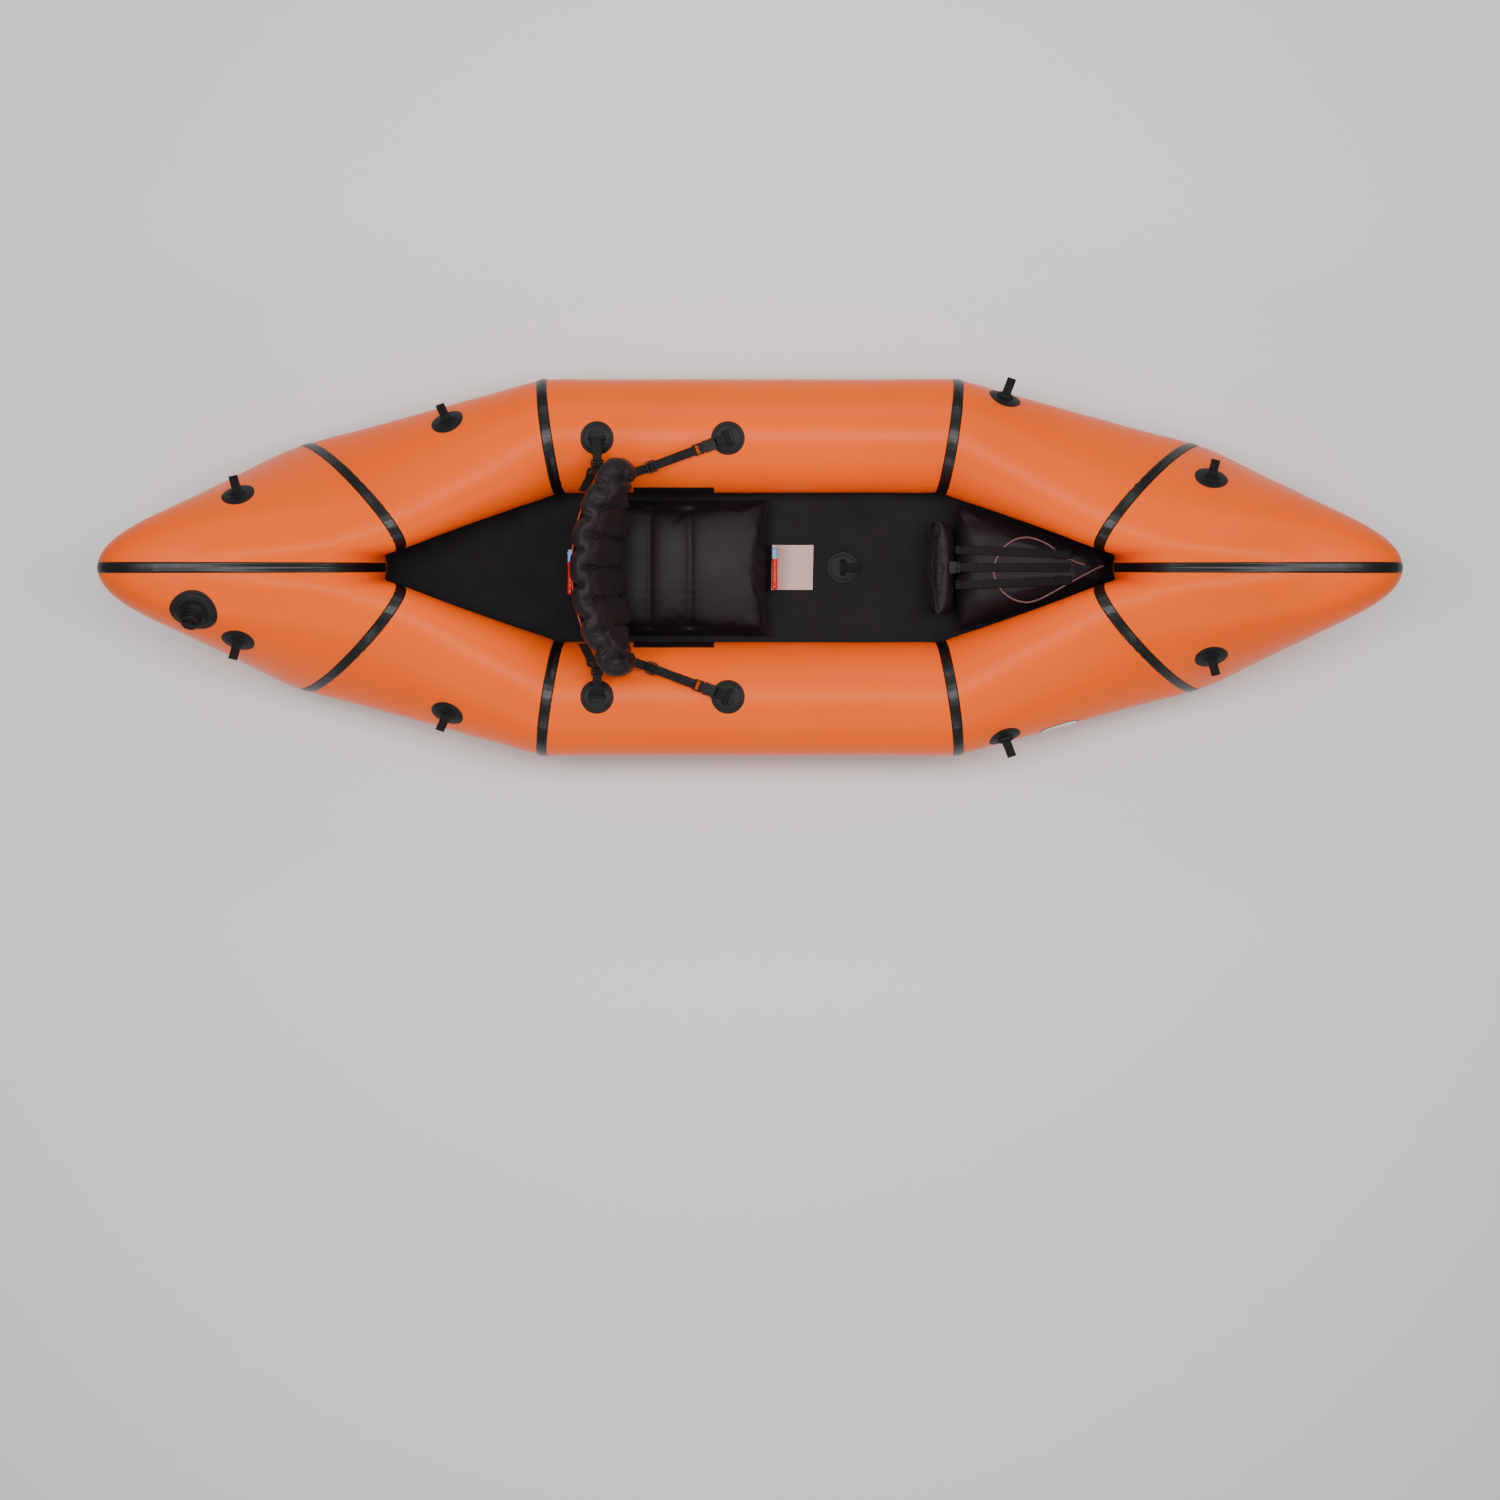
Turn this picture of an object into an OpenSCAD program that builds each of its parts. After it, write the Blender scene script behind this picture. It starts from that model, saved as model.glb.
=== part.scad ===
// Solo packraft kayak: inflated hull of eight panels, floor, fin, valve, seat, backrest and foot brace.
// Axes: +X to the bow, +Y to port, +Z up. The origin lies under the middle, level with the fin's tip.
// Hull modules are drawn with the tubes' undersides at z = 0 and then raised by afloat().

/* [Hull] */
// Length over the two stems
hull_length = 2876; // [2400:4:3460]
// Width over the side tubes
beam = 860; // [800:4:1040]
// Diameter of each side tube
tube_d = 259; // [214:1:275]
// Length of each straight side tube, along its axis
side_tube_length = 910; // [760:10:1100]
// Length of each quarter tube, along its axis
quarter_tube_length = 475; // [400:5:570]
// Angle by which a quarter tube toes in
toe_in = 17; // [15:0.5:18]
// Height of the deck above the tubes' undersides
deck_height = 364; // [303:2:437]
// Height of the tube where it meets the end cone
end_tube_height = 296; // [247:2:330]
// Thickness of the floor sheet
floor_t = 2; // [1.5:0.1:3]

/* [Tapes and patches] */
// Width of the seam tapes
tape_w = 25; // [20:1:30]
// Thickness of the seam tapes
tape_t = 0.8; // [0.6:0.1:1.2]
// Diameter of the round webbing patches
patch_d = 75; // [62:1:90]
// Thickness of the round patches
patch_t = 2.5; // [2:0.1:3]
// Diameter of the patch under the valve
valve_patch_d = 105; // [96:1:126]
// Width of all webbing
web_w = 20; // [16:1:24]
// Thickness of all webbing
web_t = 1.4; // [1.2:0.1:1.8]
// Length of a grab loop beyond its bar
grab_loop_length = 38; // [30:1:46]

/* [Fin] */
// Depth of the fin's tip below the tubes
fin_depth = 118; // [98:1:142]
// Length of the fin box
fin_box_length = 190; // [170:2:228]
// Width of the fin box
fin_box_w = 40; // [36:1:48]
// Thickness of the fin blade
fin_t = 7; // [5.8:0.1:8.4]

/* [Seat] */
// Length of the seat cushion
seat_length = 418; // [348:2:440]
// Height of the seat cushion
seat_h = 82; // [68:1:90]
// Gap between the seat cushion and the tubes
seat_gap = 8; // [6:1:12]
// Aft end of the seat cushion, from the middle of the hull
seat_aft = -368; // [-380:2:-350]
// Width of the blank care tag
tag_w = 105; // [88:1:126]

/* [Backrest] */
// Radius of the backrest's curve, to the middle of its thickness
back_r = 360; // [340:5:400]
// Thickness of the backrest
back_t = 70; // [58:1:76]
// Height of the backrest's top above the tubes' undersides
back_top = 428; // [400:2:460]
// Backward lean
back_lean = 7; // [4:0.5:9]

/* [Foot brace] */
// Length of the foot cushion
foot_length = 345; // [288:5:380]
// Height of the foot cushion
foot_h = 124; // [104:2:140]
// Diameter of the bolster in front of the feet
bolster_d = 58; // [48:1:66]
// Diameter of the elastic cord
elastic_d = 4; // [3.4:0.1:4.8]

/* [Hidden] */

hull_orange = "darkorange";
patch_black = "dimgray";
web_black = "darkslategray";
soft_black = "slategray";

gap = 0.3;                     // clearance between soft pieces that only touch
tape_lift = 1.1;                // height of a tape's underside above the tube
seam_gap = 0.15;               // clearance on each side of a seam between two tubes
ring_sides = 36;               // points round a tube section
cone_spans = 9;                // rows from the end seam to the centreline
quarter_spans = 4;             // rows along a quarter tube

tube_r = tube_d / 2;
floor_top = -(tape_lift + tape_t + gap);
base_z = floor_top + gap;       // where soft pieces rest on the floor sheet
tube_y = beam / 2 - tube_r;
seam_x = side_tube_length / 2;
end_x = seam_x + quarter_tube_length * cos(toe_in);
end_y = tube_y - quarter_tube_length * sin(toe_in);
end_dip = 40;                  // fall of the end seam towards its outer side
end_reach = tube_r + 29.5;     // half width of the end seam, measured in plan
end_turn = 40.9;               // turn of the end seam from straight across
end_lean = [-82, -25];         // lean of the end seam's top, inboard and amidships
end_rise = sqrt(pow(end_tube_height / 2, 2) - end_dip * end_dip);
cockpit_half = tube_y - tube_r;
v_end_x = end_x - 74;          // where the cockpit's point ends, on the centreline
tip_x = hull_length / 2;
bow_lift = 16;                 // extra rise of the keel under the bow

// Outline of the end cone on the centreline, every 22.5 degrees round a section: the first number runs
// from 0 at the cockpit's point to 1 at the stem, the second from 0 at the keel to 1 at the deck.
cone_outline = [[0.925, 0.3], [0.977, 0.6], [0.998, 0.865], [0.89, 1], [0.655, 0.995], [0.375, 0.955],
    [0.15, 0.845], [0.045, 0.665], [0, 0.41], [0.012, 0.18], [0.066, 0.027], [0.19, 0], [0.415, 0],
    [0.663, 0], [0.813, 0.069], [0.89, 0.18]];

function unit(a) = a / norm(a);
function wrap(v) = v - 360 * floor(v / 360);
function bump(v, at, half) = abs(wrap(v) - at) < half ? cos((wrap(v) - at) * 90 / half) : 0;

// Section of the tube at the mid seam, in the plane that halves the toe-in angle
function mid_ring(v) = [seam_x + tube_r * tan(toe_in / 2) * cos(v), tube_y + tube_r * cos(v),
    tube_r + tube_r * sin(v)];
// Section at the end seam, an ellipse turned in plan and leaning amidships
function end_ring(v) = [end_x, end_y, end_tube_height / 2]
    + cos(v) * [end_reach * sin(end_turn), end_reach * cos(end_turn), -end_dip]
    + sin(v) * [end_lean[0], end_lean[1], end_rise];
// Smooth closed curve through the cone's outline points
function outline_at(v) =
    let (n = len(cone_outline), u = wrap(v) / 360 * n, i = floor(u), f = u - i,
        a = cone_outline[(i + n - 1) % n], b = cone_outline[i % n],
        c = cone_outline[(i + 1) % n], d = cone_outline[(i + 2) % n])
    0.5 * (2 * b + (c - a) * f + (2 * a - 5 * b + 4 * c - d) * f * f + (3 * b - a - 3 * c + d) * f * f * f);
function stem_line(v, end) =
    let (q = outline_at(v), lift = end > 0 ? bow_lift * bump(v, 300, 45) : 0)
    [v_end_x + (tip_x - v_end_x) * q[0], 0, max(0, deck_height * q[1]) + lift];
// Fullness of the cone's shoulder, and how squarely its skin meets the centreline
function swell(v) = 35 * pow(max(0, cos(v - 45)), 2);
function cone_spread(v) = 24 + 80 * (1 + cos(v - 25)) / 2 + 0.4 * swell(v);
// End cone: a cubic from the end seam (w = 0) to the centreline (w = 1)
function cone_at(w, v, end) =
    let (p0 = end_ring(v), p1 = stem_line(v, end),
        lead = unit(0.7 * unit(p0 - mid_ring(v)) + 0.3 * unit(p1 - p0)),
        c0 = p0 + 0.36 * norm(p1 - p0) * lead + swell(v) * [0, 0.55, 0.85],
        c1 = p1 + [0, cone_spread(v), 25 * bump(v, 135, 45)])
    pow(1 - w, 3) * p0 + 3 * pow(1 - w, 2) * w * c0 + 3 * (1 - w) * w * w * c1 + pow(w, 3) * p1;
// The whole port bow quarter of the hull: s runs -1 amidships, 0 mid seam, 1 end seam, 2 centreline
function hull_at(s, v, end) = s < 0
    ? [seam_x * (1 + s) + (mid_ring(v)[0] - seam_x), mid_ring(v)[1], mid_ring(v)[2]]
    : s <= 1 ? mid_ring(v) + (end_ring(v) - mid_ring(v)) * s : cone_at(s - 1, v, end);
function along_s(s, v, end) = (hull_at(s + 0.004, v, end) - hull_at(s - 0.004, v, end)) / 0.008;
function along_v(s, v, end) = hull_at(s, v + 0.5, end) - hull_at(s, v - 0.5, end);
function hull_normal(s, v, end) = unit(cross(along_v(s, v, end), along_s(s, v, end)));
function seat_frame(s, v, end) =
    let (e1 = unit(along_s(s, v, end)), n = hull_normal(s, v, end)) [e1, cross(n, e1), n];
// Point of the hull that lies a and b millimetres from (s, v), raised by h
function near_hull(s, v, end, a, b, h) =
    let (f = seat_frame(s, v, end), d = a * f[0] + b * f[1], ds = along_s(s, v, end),
        dv = along_v(s, v, end), m = [[ds * ds, ds * dv], [ds * dv, dv * dv]],
        r = [ds * d, dv * d], det = m[0][0] * m[1][1] - m[0][1] * m[1][0],
        s1 = s + (m[1][1] * r[0] - m[0][1] * r[1]) / det, v1 = v + (m[0][0] * r[1] - m[0][1] * r[0]) / det)
    hull_at(s1, v1, end) + h * hull_normal(s1, v1, end);

module afloat() { translate([0, 0, fin_depth]) children(); }
module on_side(side) { mirror([0, side < 0 ? 1 : 0, 0]) children(); }
module at_end(end) { mirror([end < 0 ? 1 : 0, 0, 0]) children(); }

// Closed solid through a list of equal rings, each running clockwise when seen from the first end
module skin(rings) {
    n = len(rings[0]);
    m = len(rings);
    sides = [for (i = [0:m - 2], j = [0:n - 1], t = [0, 1]) t == 0
        ? [i * n + j, (i + 1) * n + j, i * n + (j + 1) % n]
        : [i * n + (j + 1) % n, (i + 1) * n + j, (i + 1) * n + (j + 1) % n]];
    first = [for (j = [1:n - 2]) [0, j, j + 1]];
    last = [for (j = [1:n - 2]) [(m - 1) * n, (m - 1) * n + j + 1, (m - 1) * n + j]];
    polyhedron(points = [for (r = rings) each r], faces = concat(sides, first, last));
}
// Endless band whose cross-sections are the given rings
module loop_skin(rings) {
    n = len(rings[0]);
    m = len(rings);
    polyhedron(points = [for (r = rings) each r], faces = [for (i = [0:m - 1], j = [0:n - 1], t = [0, 1])
        let (k = (i + 1) % m) t == 0 ? [i * n + j, k * n + j, i * n + (j + 1) % n]
            : [i * n + (j + 1) % n, k * n + j, k * n + (j + 1) % n]]);
}
// Round sheet laid on the hull at (s, v)
module hull_disc(s, v, end, d, from, thick) {
    seg = 16;
    rows = [0.5, 1];
    function layer(h) = concat([near_hull(s, v, end, 0, 0, h)],
        [for (k = rows, i = [0:seg - 1])
            near_hull(s, v, end, k * d / 2 * cos(i * 360 / seg), k * d / 2 * sin(i * 360 / seg), h)]);
    low = layer(from);
    top = layer(from + thick);
    n = len(low);
    function fan(o, up) = [for (i = [0:seg - 1]) let (a = o + 1 + i, b = o + 1 + (i + 1) % seg)
        up ? [o, b, a] : [o, a, b]];
    function belt(o, up) = [for (i = [0:seg - 1], t = [0, 1])
        let (a = o + 1 + i, b = o + 1 + (i + 1) % seg, c = a + seg, e = b + seg,
            f = t == 0 ? [a, b, c] : [b, e, c]) up ? f : [f[0], f[2], f[1]]];
    rim = [for (i = [0:seg - 1], t = [0, 1])
        let (a = 1 + seg + i, b = 1 + seg + (i + 1) % seg) t == 0 ? [a, n + a, b] : [b, n + a, n + b]];
    polyhedron(points = concat(low, top), faces = concat(fan(0, false), belt(0, false), fan(n, true),
        belt(n, true), rim));
}
// Puts children on the hull at (s, v): local x along the hull, z outwards
module on_hull(s, v, end, h) {
    f = seat_frame(s, v, end);
    p = hull_at(s, v, end) + h * f[2];
    multmatrix([[f[0][0], f[1][0], f[2][0], p[0]], [f[0][1], f[1][1], f[2][1], p[1]],
        [f[0][2], f[1][2], f[2][2], p[2]], [0, 0, 0, 1]]) children();
}
// Flat webbing along a path, with its flat side facing up at every point
module webbing(path, ups, w, t) {
    n = len(path);
    skin([for (i = [0:n - 1])
        let (d = unit(path[min(i + 1, n - 1)] - path[max(i - 1, 0)]), a = unit(cross(d, ups[i])),
            b = cross(a, d))
        [for (c = [[-1, -1], [-1, 1], [1, 1], [1, -1]]) path[i] + c[0] * a * w / 2 + c[1] * b * t / 2]]);
}

// ---------- inflated panels ----------
ring_angles = [for (j = [0:ring_sides - 1]) j * 360 / ring_sides];
seam_normal = unit(cross(end_ring(0) - end_ring(180), end_ring(90) - end_ring(270)));

module side_tube() {
    reach = 4;
    outer = seam_x + (tube_r + reach) * tan(toe_in / 2) - seam_gap;
    inner = seam_x - (tube_r + reach) * tan(toe_in / 2) - seam_gap;
    color(hull_orange) afloat() intersection() {
        translate([-hull_length / 2, tube_y, tube_r]) rotate([0, 90, 0])
            cylinder(r = tube_r, h = hull_length, $fn = 96);
        linear_extrude(tube_d + reach) polygon([[outer, tube_y + tube_r + reach],
            [-outer, tube_y + tube_r + reach], [-inner, tube_y - tube_r - reach],
            [inner, tube_y - tube_r - reach]]);
    }
}
module quarter_tube(end) {
    color(hull_orange) afloat() at_end(end) skin([for (i = [0:quarter_spans])
        let (s = i / quarter_spans, shift = i == 0 ? [seam_gap, 0, 0] : i == quarter_spans
            ? -seam_gap * seam_normal : [0, 0, 0])
        [for (v = ring_angles) hull_at(s, v, end) + shift]]);
}
module end_cone(end) {
    half = [for (i = [0:cone_spans]) [for (v = ring_angles)
        cone_at(i / cone_spans, v, end) + (i == 0 ? seam_gap * seam_normal : [0, 0, 0])]];
    color(hull_orange) afloat() at_end(end) skin(concat(half,
        [for (i = [cone_spans - 1:-1:0]) [for (p = half[i]) [p[0], -p[1], p[2]]]]));
}
module floor_sheet() {
    lap = 35;
    bow_end = v_end_x + 0.47 * (tip_x - v_end_x);
    stern_end = v_end_x + 0.64 * (tip_x - v_end_x);
    keel = end_ring(270);
    function half(end) = [[seam_x + lap / 4, tube_y + lap], [keel[0] + lap / 2, keel[1] + lap],
        [end > 0 ? bow_end : stern_end, lap]];
    port = concat([for (p = [2:-1:0]) [-half(-1)[p][0], half(-1)[p][1]]], half(1));
    color("black") afloat() translate([0, 0, floor_top - floor_t]) linear_extrude(floor_t)
        polygon(concat(port, [for (i = [5:-1:0]) [port[i][0], -port[i][1]]]));
}

// ---------- tapes ----------
// Band of tape round the tube, centred on the seam at s, with its middle line on the seam
module ring_tape(s, end, side, lift) {
    on_side(side) at_end(end) loop_skin([for (v = ring_angles)
        let (ds = tape_w / 2 / norm(along_s(s - 0.01, v, end)), dw = tape_w / 2 / norm(along_s(s + 0.01, v, end)),
            low = [for (k = [s - ds, s, s + dw]) hull_at(k, v, end)],
            n = unit(hull_normal(s - 0.01, v, end) + hull_normal(s + 0.01, v, end)))
        [low[0] + lift * n, low[1] + lift * n, low[2] + lift * n, low[2] + (lift + tape_t) * n,
            low[1] + (lift + tape_t) * n, low[0] + (lift + tape_t) * n]]);
}
module mid_seam_tapes() {
    color("black") afloat() for (end = [1, -1], side = [1, -1]) ring_tape(0, end, side, tape_lift);
}
module end_seam_tapes() {
    color("black") afloat() for (end = [1, -1], side = [1, -1]) ring_tape(1, end, side, tape_lift);
}
// Tape along the centreline, from the cockpit's point over the deck and round the stem to the keel
module centre_tape(end) {
    first = -54;
    last = 162;
    rows = 36;
    lift = 1.2;
    color("black") afloat() at_end(end) skin([for (i = [0:rows])
        let (v = first + (last - first) * i / rows, q = cone_at(1, v, end),
            e = cone_at(1 - tape_w / 6 / cone_spread(v), v, end),
            t = unit(cone_at(1, v + 1, end) - cone_at(1, v - 1, end)), n = unit(cross([0, 1, 0], t)))
        [[e[0], -e[1], e[2]] + lift * n, [e[0], -e[1], e[2]] + (lift + tape_t) * n, q + (lift + tape_t) * n,
            e + (lift + tape_t) * n, e + lift * n, q + lift * n]]);
}

// ---------- patches, bridges and webbing loops ----------
front_patch_x = 51;
rear_patch_x = 343;
strap_patch_v = 95.5;
disc_lift = 0.6;
disc_top = disc_lift + patch_t;
bar_r = 3;
bar_h = disc_top + 7;
bridge_foot = 3.5;
// Place of each grab loop as [end, s, v]
grab_places = [[-1, 0.45, 38], [-1, 1.34, 50], [1, 0.21, 25], [1, 1.17, 45]];
// Place of each strap patch as [distance aft, turn of its bar]
strap_places = [[front_patch_x, 66], [rear_patch_x, 0]];
floor_patch_x = 218;
floor_bar_z = floor_top + bar_h - disc_lift;

function tube_s(x) = x / seam_x - 1;
module each_strap_patch() {
    for (side = [1, -1], p = strap_places) on_side(side) at_end(-1) {
        $turn = p[1];
        $s = tube_s(p[0]);
        children();
    }
}
// Moulded bridge: a bar across two feet, with its bar along local x at z = 0
module bridge() {
    rotate([0, 90, 0]) cylinder(r = bar_r, h = web_w + 2 * bridge_foot, center = true, $fn = 24);
    for (k = [1, -1]) translate([k * (web_w / 2 + bridge_foot), 0, (bar_r - bar_h + disc_top + gap / 3) / 2])
        cube([bridge_foot * 1.6, 11, bar_h - disc_top + bar_r - gap / 3], center = true);
}
// Doubled webbing sewn into a loop round a bar at the origin, reaching out along local z
module web_loop(reach, r) {
    inner = r + 0.4;
    outer = inner + web_t;
    rotate([0, 90, 0]) linear_extrude(web_w, center = true) difference() {
        union() {
            circle(r = outer, $fn = 32);
            translate([-reach, -outer]) square([reach, 2 * outer]);
            translate([-reach, 0]) circle(r = outer, $fn = 32);
        }
        circle(r = inner, $fn = 32);
        translate([-reach, -inner]) square([reach, 2 * inner]);
        translate([-reach, 0]) circle(r = inner, $fn = 32);
    }
}
module patch_discs() {
    color(patch_black) afloat() {
        for (g = grab_places, side = [1, -1])
            on_side(side) at_end(g[0]) hull_disc(g[1], g[2], g[0], patch_d, disc_lift, patch_t);
        for (side = [1, -1], p = strap_places)
            on_side(side) at_end(-1) hull_disc(tube_s(p[0]), strap_patch_v, -1, patch_d, disc_lift, patch_t);
        translate([floor_patch_x, 0, floor_top]) cylinder(d = patch_d, h = patch_t, $fn = 64);
    }
}
module patch_bridges() {
    color(patch_black) afloat() {
        for (g = grab_places, side = [1, -1])
            on_side(side) at_end(g[0]) on_hull(g[1], g[2], g[0], bar_h) bridge();
        for (side = [1, -1], p = strap_places)
            on_side(side) at_end(-1) on_hull(tube_s(p[0]), strap_patch_v, -1, bar_h) rotate(p[1]) bridge();
        translate([floor_patch_x, 0, floor_bar_z]) rotate(90) bridge();
    }
}
module grab_loop(place, side) {
    color(web_black) afloat() on_side(side) at_end(place[0]) on_hull(place[1], place[2], place[0], bar_h)
        web_loop(grab_loop_length, bar_r);
}
module floor_loop() {
    color(web_black) afloat() translate([floor_patch_x, 0, floor_bar_z]) rotate(90)
        rotate([70, 0, 0]) web_loop(grab_loop_length, bar_r);
}

// ---------- main valve ----------
valve_place = [1.56, 69];
valve_bore_r = 13;
valve_neck_r = 17;
valve_ledge_h = 7;
module at_valve(h) { afloat() on_side(-1) at_end(-1) on_hull(valve_place[0], valve_place[1], -1, h) children(); }
module valve_patch() {
    color(patch_black) afloat() on_side(-1) at_end(-1)
        hull_disc(valve_place[0], valve_place[1], -1, valve_patch_d, disc_lift, patch_t);
}
module valve_body() {
    color("black") at_valve(disc_top + gap) rotate_extrude($fn = 64) polygon([[valve_bore_r - 3, 0], [31, 0],
        [31, 3], [26, 4], [25, 9], [22.5, 9], [21.5, 14], [19.5, 14], [19, 19], [valve_neck_r, 19],
        [valve_neck_r, 26], [valve_bore_r, 26], [valve_bore_r, valve_ledge_h],
        [valve_bore_r - 3, valve_ledge_h]]);
}
module valve_flap() {
    color("gray") at_valve(disc_top + gap + valve_ledge_h + 0.2)
        cylinder(r = valve_bore_r - 0.4, h = 1.5, $fn = 48);
}
module valve_cap() {
    cap_r = valve_neck_r + 3;
    inside = valve_neck_r + 0.2;
    color("black") at_valve(disc_top + gap) {
        rotate_extrude($fn = 64) polygon([[0, 26.4], [inside, 26.4], [inside, 19.5], [cap_r, 19.5],
            [cap_r, 31], [cap_r - 1.5, 32.5], [0, 32.5]]);
        translate([-cap_r * 0.8, -3, 32.5]) cube([cap_r * 1.6, 6, 7]);
    }
}
module valve_tether() {
    lower_in = 20;
    upper_in = valve_neck_r + 3.4;
    color("black") at_valve(disc_top + gap) {
        difference() {
            translate([0, 0, 14.4]) cylinder(r = lower_in + 3, h = 2, $fn = 64);
            translate([0, 0, 14]) cylinder(r = lower_in, h = 3, $fn = 64);
        }
        difference() {
            translate([0, 0, 24]) cylinder(r = upper_in + 2.6, h = 2, $fn = 64);
            translate([0, 0, 23]) cylinder(r = upper_in, h = 4, $fn = 64);
        }
        translate([lower_in + 1.6, -5, 14.4]) cube([2.4, 10, 11.6]);
    }
}

// ---------- fin ----------
fin_aft = -(v_end_x + 0.697 * (tip_x - v_end_x));
fin_mid = fin_aft + fin_box_length / 2;
patch_low = floor_top - floor_t - patch_t;
box_h = 16;
foot_w = 20;
foot_t = 5;
slot_play = 0.5;
module stadium(l, w, h) {
    linear_extrude(h) union() {
        translate([-l / 2 + w / 2, -w / 2]) square([l - w, w]);
        for (k = [1, -1]) translate([k * (l - w) / 2, 0]) circle(d = w, $fn = 48);
    }
}
module fin_patch() {
    color(patch_black) afloat() translate([fin_mid, 0, patch_low])
        stadium(fin_box_length + 10, fin_box_w * 2, patch_t);
}
module fin_box() {
    color("black") afloat() difference() {
        translate([fin_mid, 0, patch_low - box_h]) stadium(fin_box_length, fin_box_w, box_h);
        translate([fin_aft - 1, -fin_t / 2 - slot_play, patch_low - box_h - 1])
            cube([fin_box_length - 20, fin_t + 2 * slot_play, box_h - 3]);
        translate([fin_aft - 1, -foot_w / 2 - slot_play, patch_low - 5 - foot_t - slot_play])
            cube([fin_box_length - 20, foot_w + 2 * slot_play, foot_t + 2 * slot_play]);
    }
}
module fin_blade() {
    root = patch_low - 5 - foot_t;
    drop = fin_depth + root;
    foot_l = fin_box_length - 30;
    // Side outline from the front of the root, along the swept edges: [ahead of the box's aft end, drop]
    edge = [[175, 0], [131, 0.3], [71, 0.64], [-6, 0.98], [-24, 1], [-63, 0.965], [-82, 0.86], [-81, 0.8],
        [-44, 0.42], [-7, 0.12], [7, 0]];
    color("black") afloat() {
        translate([fin_aft + 7, -foot_w / 2, root]) cube([foot_l, foot_w, foot_t]);
        translate([fin_aft, fin_t / 2, root]) rotate([90, 0, 0]) linear_extrude(fin_t)
            polygon([for (p = edge) [p[0] > 7 ? min(p[0], 7 + foot_l) : p[0], -drop * p[1]]]);
    }
}

// ---------- seat ----------
seat_half = cockpit_half - seat_gap;
seat_front = seat_aft + seat_length;
band_t = 2.2;
mouth_r = 7;                    // radius of the oral valves' tubes
// Rounded square outline of half sizes a and b
function squircle(a, b, angle, power) =
    [a * sign(cos(angle)) * pow(abs(cos(angle)), 2 / power),
        b * sign(sin(angle)) * pow(abs(sin(angle)), 2 / power)];
module seat_cushion() {
    stations = [0, 0.02, 0.07, 0.16, 0.5, 0.84, 0.93, 0.98, 1];
    sides = 24;
    color(soft_black) afloat() skin([for (u = stations)
        let (k = 1 - 0.5 * pow(abs(2 * u - 1), 8), w = 1 - 0.1 * pow(abs(2 * u - 1), 8))
        [for (j = [0:sides - 1]) let (q = squircle(seat_half * w, seat_h / 2 * k, j * 360 / sides, 4))
            [seat_aft + u * seat_length, q[0], base_z + seat_h / 2 + q[1]]]]);
}
module seat_side_bands() {
    from_v = 150;
    rows = 8;
    band_x = [-264, -82];
    inner = tube_r + gap + 0.3;
    function rim_point(r, v, x) = [x, tube_y + r * cos(v), tube_r + r * sin(v)];
    color("black") afloat() for (side = [1, -1]) on_side(side) skin([for (i = [0:rows])
        let (v = from_v + i * 6) [rim_point(inner, v, band_x[0]), rim_point(inner, v, band_x[1]),
            rim_point(inner + band_t, v, band_x[1]), rim_point(inner + band_t, v, band_x[0])]]);
}
// Oral valve: a soft tube with a bent root, lying along +Y from the origin, and its push-pull tip
module mouth_tube(l) {
    rotate([-90, 0, 0]) cylinder(r = mouth_r, h = l, $fn = 32);
    sphere(r = mouth_r, $fn = 32);
}
module mouth_tip(l) {
    tip_l = 27;
    rotate([-90, 0, 0]) translate([0, 0, l + gap]) {
        cylinder(r = mouth_r - 1, h = tip_l, $fn = 32);
        translate([0, 0, tip_l - 9]) cylinder(r = mouth_r, h = 4, $fn = 32);
    }
}
seat_mouth = [seat_front + mouth_r + gap, -42, 54];
mouth_l = 62;
module seat_valve_tube() { color("red") afloat() translate(seat_mouth) mouth_tube(mouth_l); }
module seat_valve_tip() { color("lightblue") afloat() translate(seat_mouth) mouth_tip(mouth_l); }
// Blank care tag, sewn into the seat's front seam and lying forward on the floor
module care_tag() {
    path = [[0.5, 38], [9, 31], [20, 17], [38, 5], [62, 1], [98, 0.4]];
    color("mistyrose") afloat() webbing([for (p = path) [seat_front + p[0], 0, base_z + p[1]]],
        [for (p = path) [0.5, 0, 1]], tag_w, 0.5);
}

// ---------- backrest ----------
back_x = 36;                    // centre of the backrest's curve
back_clear = -2;                // the seat's rounded aft end falls away under the backrest
back_bottom = base_z + seat_h + back_clear;
wing_reach = 230;
wing_bottom = tube_d + 9;
wing_top = back_top - 42;
swing_max = asin(wing_reach / back_r);
body_swing = 21;                // half angle of the part that fits between the tubes
wing_swing = 29.5;
hinge_x = back_x - back_r;
hinge_z = back_bottom + back_t / 2;
function ease(a, b, t) = a + (b - a) * min(1, max(0, t));
function back_low(f) = ease(back_bottom, wing_bottom, (abs(f) - body_swing) / (wing_swing - body_swing));
function back_high(f) = ease(back_top, wing_top, (abs(f) - body_swing) / (swing_max - body_swing));
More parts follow.
